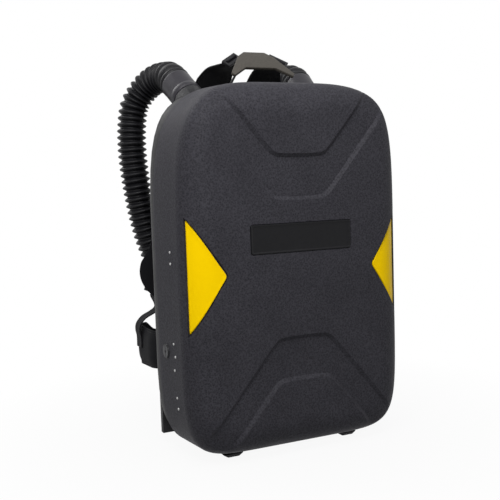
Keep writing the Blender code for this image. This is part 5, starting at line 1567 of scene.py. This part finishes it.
    def build_flap(self, name: str, end: Vector, down: Vector) -> None:
        """Builds the rounded flap that covers the front of a strap's adjuster.

        Args:
            name: its side.
            end: the strap's lower end.
            down: the strap's direction there.
        """
        front = down.cross(RIGHT).normalized()
        front = front if front.y < 0 else -front
        points = []
        widths = []
        for i in range(self.flap_steps + 1):
            share = math.sin(math.pi / 2 * i / self.flap_steps)
            lift = self.flap_lift - self.flap_settle * share
            points.append(end + down * (self.flap_long * share - self.flap_above) + front * lift)
            past = max(0.0, share - self.flap_corner) / (1 - self.flap_corner)
            swell_out = min(share / self.flap_corner, 1.0)
            wide = self.strap_width + (self.flap_width - self.strap_width) * swell_out
            widths.append(max(self.flap_tip, wide * (1 - past**self.flap_round) ** self.flap_power))
        shape = Shape().ribbon(points, RIGHT, widths, self.flap_thick, self.padded_section())
        piece = shape.make(f"strap_flap_{name}", FABRIC, sharp=70.0)

    def build_webbing(self, name: str, sign: int, low: Vector, down: Vector) -> None:
        """Builds the lower webbing from the adjuster round to the hip belt.

        Args:
            name: its side.
            sign: which way across it lies.
            low: the adjuster's lower end.
            down: the strap's direction there.
        """
        outer = self.belt_out + self.belt_thick / 2 + self.fit + self.webbing_thick / 2
        top = self.belt_low + self.belt_height
        tail = [(outer, self.webbing_depth, top - self.webbing_drop * share) for share in (1.0, 2.0)]
        route = SHAPE.mirrored([*self.bulge, *tail], sign)
        line = smooth_line([low + down * self.fit, low + down * self.webbing_lead, *route], steps=10)
        line = resample(line, self.webbing_step)
        nodes = [f"lower_strap_{name}"]
        self.web(f"lower_strap_{name}_web", line, BACK, self.webbing_width, self.webbing_thick, nodes)

    def build_loops(self, name: str, sign: int, low: Vector, down: Vector) -> None:
        """Builds the webbing that fills the slots of the slider and the adjuster.

        Args:
            name: its side.
            sign: which way across it lies.
            low: the adjuster's lower end.
            down: the strap's direction there.
        """
        middle, lean, back = self.slider_frame(sign)
        long = RIGHT * (sign * math.cos(self.slider_tilt)) - lean * math.sin(self.slider_tilt)
        hole = low - down * (self.adjuster_length * self.adjuster_slot)
        across = (RIGHT - RIGHT.project(down)).normalized()
        for label, centre, wide, deep, (length, reach) in (
            ("slider", middle + back * self.loop_back, long, back, self.slider_loop),
            ("adjuster", hole, across, down.cross(across).normalized(), self.adjuster_loop),
        ):
            side = wide.cross(deep).normalized()
            points = []
            for i in range(self.loop_steps + 1):
                turn = math.pi * (i / self.loop_steps - 0.5)
                sway = self.loop_sway * math.sin(2 * turn)
                points.append(centre + deep * (reach * math.sin(turn)) + side * sway)
            self.web(f"{label}_loop_{name}", points, wide, length, self.loop_thick)

    def build_ring(self, name: str, sign: int) -> None:
        """Builds the small steel ring that hangs from a tab on the belt's corner."""
        turn = Vector((sign, 1.0, 1.0))
        out = (Vector((*self.ring_way, 0.0)) * turn).normalized()
        side = out.cross(UP)
        seat = Vector(self.ring_seat) * turn + out * self.ring_lift
        radius, top = self.ring_radius, self.ring_top
        outline = arc((0.0, 0.0), radius, math.pi, 2 * math.pi, steps=20) + [(radius, top), (-radius, top)]
        line = [seat + side * a + UP * b for a, b in offset_outline(outline, 0.0, self.ring_step)]
        rings = []
        for i, point in enumerate(line):
            ahead = (line[(i + 1) % len(line)] - line[i - 1]).normalized()
            rings.append(hoop(point, ahead.cross(out), out, self.ring_wire, count=12))
        Shape().loft(rings, around=True).make(f"belt_ring_{name}", STEEL, sharp=60.0)
        middle, tall, deep = self.tab_loop
        first, last = (seat + UP * high - out * behind for high, behind in self.tab_ends)
        tab = [first]
        for angle in self.tab_turns:
            tab.append(seat + UP * (middle + tall * math.sin(angle)) + out * (deep * math.cos(angle)))
        tab = smooth_line([*tab, last], steps=6)
        self.web(f"belt_tab_{name}", tab, side, self.tab_width, self.tab_thick)

    def belt_line(self, sign: int) -> list[Vector]:
        """Draws the hip belt in plan, from the lumbar pad round to the buckle."""
        front, rear = (SHAPE.depth + depth for depth in self.belt_depths)
        corner = self.belt_corner
        turn = self.belt_out - corner
        points = [(self.belt_start, front)]
        points += arc((turn, front + corner), corner, -math.pi / 2, 0.0, steps=8)
        points += arc((turn, rear - corner), corner, 0.0, math.pi / 2, steps=8)
        points.append((self.belt_end, rear))
        middle = self.belt_low + self.belt_height / 2
        route = [(across, depth, middle) for across, depth in points]
        return resample(SHAPE.mirrored(route, sign), self.strap_step)

    def build_belt(self, name: str, sign: int) -> None:
        """Builds one wing of the hip belt: padded by the hip, then narrowing to flat webbing."""
        line = self.belt_line(sign)
        narrow = int(len(line) * self.belt_padded)
        sizes = []
        for i in range(len(line)):
            share = clamp((i - narrow) / self.belt_fade)
            share = share**2 * (3 - 2 * share)
            lift = self.belt_lift * max(0.0, 1 - i / narrow) ** self.belt_lift_power
            line[i] = line[i] + UP * (lift / 2)
            width = self.belt_height + (self.belt_strap - self.belt_height) * share - lift
            sizes.append((width, self.belt_thick * (1 - self.belt_thinner * share)))
        widths, thicks = zip(*sizes)
        shape = Shape().ribbon(line, UP, widths, thicks, self.padded_section())
        piece = shape.make(f"hip_belt_{name}_wing", FABRIC, "base", [f"hip_belt_{name}"], sharp=70.0)
        rows = Shape()
        self.sew(rows, line, [UP] * len(line), sizes, sign, range(1, narrow))
        rows.make(f"belt_stitching_{name}", THREAD)


@dataclass
class Pad:
    """A foam pad in woven cloth on the tray's back, swelled by a cloth run and sewn with channels."""

    node: str
    seat: Vector
    width: float
    height: float
    thick: float
    channels: tuple[float, ...]
    cap: float = 0.006
    # The side wall before it swells, as share of the thickness and distance drawn in
    levels: Profile = ((0.0, 0.006), (0.0, 0.002), (0.25, 0.001), (0.65, 0.001), (0.85, 0.003), (0.95, 0.009))
    flat_share: float = 0.80
    lift: float = 0.0006
    points: int = 96
    corner: float = 0.30
    waist: float = 0.004
    waist_from: float = 0.9
    piping: float = 0.0019
    piping_share: float = 0.32
    channel_half: float = 0.007
    channel_sink: float = 0.28
    channel_tall: float = 0.86
    channel_from: float = 0.35
    channel_fade: float = 12.0

    def build(self) -> None:
        """Builds the pad, its sewn channels and its piping."""
        rings = []
        for share, inward in self.levels:
            rise = BACK * (self.thick * self.flat_share * share + self.lift)
            rings.append([point + rise for point in self.outline(inward)])
        piece = Shape().loft(rings).make(f"{self.node}_cushion", FABRIC, "base", [self.node], sharp=80.0)
        swell(piece, self.cap)
        self.sew(piece)
        line = [point + BACK * (self.thick * self.piping_share) for point in self.outline(0.0)]
        line.append(line[0].copy())
        Shape().tube(line, self.piping, sides=12).make(f"{self.node}_piping", WEBBING, sharp=80.0)

    def outline(self, inward: float) -> list[Vector]:
        """Gives the pad's rounded outline on its seat, with sides that pull in between the corners."""
        points = []
        for i in range(self.points):
            angle = 2 * math.pi * i / self.points
            across = math.copysign(abs(math.cos(angle)) ** self.corner, math.cos(angle))
            up = math.copysign(abs(math.sin(angle)) ** self.corner, math.sin(angle))
            waist = self.waist * (1 - abs(up)) * (abs(across) > self.waist_from)
            wide = self.width / 2 - inward - waist
            points.append(self.seat + RIGHT * (wide * across) + UP * ((self.height / 2 - inward) * up))
        return points

    def sew(self, piece: bpy.types.Object) -> None:
        """Draws the sewn channels into the pad's rear face."""
        for vert in piece.data.vertices:
            for channel in self.channels:
                near = abs(vert.co.x - channel) / self.channel_half
                room = self.channel_tall - abs(vert.co.z - self.seat.z) / (self.height / 2)
                back = (vert.co.y - self.seat.y) / self.thick
                if near < 1 and room > 0 and back > self.channel_from:
                    sink = self.thick * self.channel_sink * (1 - near**2) ** 2
                    vert.co.y -= sink * min(1.0, room * self.channel_fade)


def swell(piece: bpy.types.Object, cap: float) -> None:
    """Swells a padded piece with a short cloth run and bakes the result into its mesh.

    Args:
        piece: the piece to swell.
        cap: the furthest that a point may move.
    """
    voxel, pressure, steps = 0.005, 4.0, 20
    scene = bpy.context.scene
    remesh = piece.modifiers.new("even", "REMESH")
    remesh.mode = "VOXEL"
    remesh.voxel_size = voxel
    bake(piece)
    rest = [vert.co.copy() for vert in piece.data.vertices]
    cloth = piece.modifiers.new("swell", "CLOTH")
    cloth.settings.use_pressure = True
    cloth.settings.uniform_pressure_force = pressure
    cloth.settings.effector_weights.gravity = 0.0
    for step in range(1, steps + 1):
        scene.frame_set(step)
    bake(piece)
    scene.frame_set(1)
    for vert, start in zip(piece.data.vertices, rest):
        move = vert.co - start
        if move.length > cap:
            vert.co = start + move * (cap / move.length)
    finer = piece.modifiers.new("finer", "SUBSURF")
    finer.levels = 1
    finer.render_levels = 1
    bake(piece)
    for face in piece.data.polygons:
        face.use_smooth = True


def bake(piece: bpy.types.Object) -> None:
    """Turns a piece's modifiers into its mesh and removes them."""
    view = bpy.context.evaluated_depsgraph_get()
    made = bpy.data.meshes.new_from_object(piece.evaluated_get(view))
    old = piece.data
    piece.modifiers.clear()
    if not made.materials:
        made.materials.append(old.materials[0])
    piece.data = made
    bpy.data.meshes.remove(old)


@dataclass
class GasSupply:
    """The oxygen cylinder with its cradle, bands, valve, hand wheel, reducer and bypass button."""

    # Each solid with its finish, the width of its broken edges and how many faces they have
    pieces: tuple[tuple[str, Finish, float, int], ...] = (
        ("oxygen_cylinder", BLUE, 0.0008, 2),
        ("cylinder_cradle", BLACK, 0.0010, 2),
        ("cylinder_band_left", STEEL, 0.0004, 1),
        ("cylinder_band_right", STEEL, 0.0004, 1),
        ("cylinder_valve", BRASS, 0.0008, 2),
        ("valve_handwheel", BLACK, 0.0014, 3),
        ("pressure_reducer", BRASS, 0.0010, 2),
        ("bypass_button", YELLOW, 0.0008, 2),
        ("dosing_tube", STEEL, 0.0, 2),
    )

    def build(self) -> None:
        """Builds the gas supply."""
        for row in self.pieces:
            refine(*row)


@dataclass
class Circuit:
    """The absorber, cooler, breathing bag, valves and ducts inside the case."""

    lid_shrink: float = 0.005
    lid_ahead: float = 0.0003
    bag_cap: float = 0.003
    # Each solid with its finish, the width of its broken edges and how many faces they have
    pieces: tuple[tuple[str, Finish, float, int], ...] = (
        ("absorber_canister", GREEN, 0.0020, 3),
        ("cooler_canister", PALE, 0.0010, 2),
        ("cooler_lid", BLACK, 0.0012, 3),
        ("bag_hinge", STEEL, 0.0005, 2),
        ("bag_plate", ALUMINIUM, 0.0008, 2),
        ("demand_valve", BRASS, 0.0008, 2),
        ("demand_lever", STEEL, 0.0004, 1),
        ("relief_valve", PALE, 0.0008, 2),
        ("relief_plunger", STEEL, 0.0006, 2),
        ("exhale_duct", RUBBER, 0.0, 2),
        ("inhale_duct", RUBBER, 0.0, 2),
    )

    def build(self) -> None:
        """Builds the breathing circuit."""
        made = {row[0]: refine(*row) for row in self.pieces}
        self.free_lid(made["cooler_lid"])
        bag = node_mesh("breathing_bag")
        piece = bag.make("breathing_bag_skin", BAG, "base", ["breathing_bag"], sharp=80.0)
        swell(piece, self.bag_cap)

    def free_lid(self, lid: bpy.types.Object) -> None:
        """Draws the cooler's lid in and moves it ahead a little, so that it turns clear of the canister.

        Args:
            lid: the piece that stands for the lid.
        """
        low, high = (Vector(corner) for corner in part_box("cooler_lid"))
        middle = (low + high) / 2
        for vert in lid.data.vertices:
            reach = vert.co - middle
            vert.co -= Vector((reach.x, 0.0, reach.z)) * self.lid_shrink + BACK * self.lid_ahead


@dataclass
class Studio:
    """The pale floor, the soft light and the camera."""

    camera_at: Triple = (-0.56904, -1.18916, 0.42754)
    right: Triple = (0.90566564, -0.42267016, -0.03346166)
    down: Triple = (-0.06944679, -0.07002394, -0.99512501)
    forward: Triple = (0.41826653, 0.90357434, -0.09277136)
    lens: float = 57.6
    sensor: float = 36.0
    # Each lamp with its place, the width of its face and its power in watts
    lamps: tuple[tuple[str, Triple, float, float], ...] = (
        ("key", (-0.55, -0.80, 1.15), 0.7, 16.0),
        ("top", (0.05, -0.50, 1.25), 0.6, 2.5),
        ("fill", (1.9, -0.9, 0.8), 1.2, 4.5),
        ("rim", (-0.9, 1.6, 1.9), 1.2, 16.0),
    )
    lamp_aim: Triple = (0.0, 0.0, 0.3)
    sky_light: float = 0.15
    floor_radius: float = 14.0
    floor_grey: float = 0.45
    floor_fade: Flat = (0.15, 0.60)
    floor_least: float = 0.93

    def build(self) -> None:
        """Builds the set."""
        self.build_camera()
        self.build_floor()
        self.build_world()
        for lamp in self.lamps:
            self.build_lamp(*lamp)
        bpy.context.scene.view_settings.view_transform = "Standard"

    def build_camera(self) -> None:
        """Puts the camera where the photograph was taken from."""
        data = bpy.data.cameras.new("view")
        data.lens = self.lens
        data.sensor_width = self.sensor
        camera = add_object("view", data)
        columns = (Vector(self.right), -Vector(self.down), -Vector(self.forward))
        turned = Matrix([[column[row] for column in columns] for row in range(3)]).to_4x4()
        camera.matrix_world = Matrix.Translation(self.camera_at) @ turned
        bpy.context.scene.camera = camera

    @staticmethod
    def seen(nodes: NodeTree) -> bpy.types.NodeSocket:
        """Gives 1 for rays that show the background: straight, mirrored or through glass."""
        path = nodes.add("ShaderNodeLightPath").outputs
        mirrored = nodes.math("MAXIMUM", path["Is Camera Ray"], path["Is Glossy Ray"])
        return nodes.math("MAXIMUM", mirrored, path["Is Transmission Ray"])

    def build_floor(self) -> None:
        """Lays a pale floor that keeps the shadow and fades to white further out."""
        bm = bmesh.new()
        bmesh.ops.create_circle(bm, cap_ends=True, radius=self.floor_radius, segments=96)
        mesh = bpy.data.meshes.new("floor")
        bm.to_mesh(mesh)
        bm.free()
        floor = add_object("floor", mesh)
        material = bpy.data.materials.new("pale_floor")
        material.use_nodes = True
        nodes = NodeTree(material.node_tree)
        colour = (self.floor_grey, self.floor_grey, self.floor_grey, 1.0)
        values = {"Base Color": colour, "Roughness": 0.9, "Specular IOR Level": 0.1}
        shader = nodes.put(material.node_tree.nodes["Principled BSDF"], values)
        glow = nodes.add("ShaderNodeEmission", {"Color": (1.0, 1.0, 1.0, 1.0), "Strength": 1.0})
        where = nodes.add("ShaderNodeTexCoord").outputs["Object"]
        away = nodes.add("ShaderNodeVectorMath", {0: where}, operation="LENGTH").outputs["Value"]
        near, far = self.floor_fade
        values = {"Value": away, "From Min": near, "From Max": far, "To Min": self.floor_least}
        fade = nodes.add("ShaderNodeMapRange", values)
        share = nodes.math("MULTIPLY", fade.outputs[0], self.seen(nodes))
        values = {"Fac": share, 1: shader.outputs["BSDF"], 2: glow.outputs["Emission"]}
        mix = nodes.add("ShaderNodeMixShader", values)
        nodes.put(material.node_tree.nodes["Material Output"], {"Surface": mix.outputs["Shader"]})
        mesh.materials.append(material)

    def build_world(self) -> None:
        """Sets a plain even sky that shows as white."""
        world = bpy.data.worlds.new("studio")
        bpy.context.scene.world = world
        world.use_nodes = True
        nodes = NodeTree(world.node_tree)
        values = {"Value": self.seen(nodes), "To Min": self.sky_light, "To Max": 1.0}
        strength = nodes.add("ShaderNodeMapRange", values).outputs[0]
        nodes.put(world.node_tree.nodes["Background"], {"Color": (1.0, 1.0, 1.0, 1.0), "Strength": strength})

    def build_lamp(self, name: str, where: Triple, size: float, power: float) -> None:
        """Hangs a soft lamp that points at the middle of the object.

        Args:
            name: the lamp's name.
            where: its place.
            size: the width of its face.
            power: its power in watts.
        """
        data = bpy.data.lights.new(name, "AREA")
        data.size = size
        data.energy = power
        lamp = add_object(name, data)
        lamp.location = where
        lamp.rotation_mode = "QUATERNION"
        lamp.rotation_quaternion = (Vector(self.lamp_aim) - Vector(where)).to_track_quat("-Z", "Y")


def main() -> None:
    """Builds every sub-assembly in order."""
    logging.basicConfig(level=logging.INFO, format="%(name)s: %(message)s")
    for assembly in (Studio(), Hoses(), Cover(), Tray(), CarryHandle(), Harness(), GasSupply(), Circuit()):
        LOG.info("building %s", type(assembly).__name__)
        assembly.build()


if __name__ == "__main__":
    main()
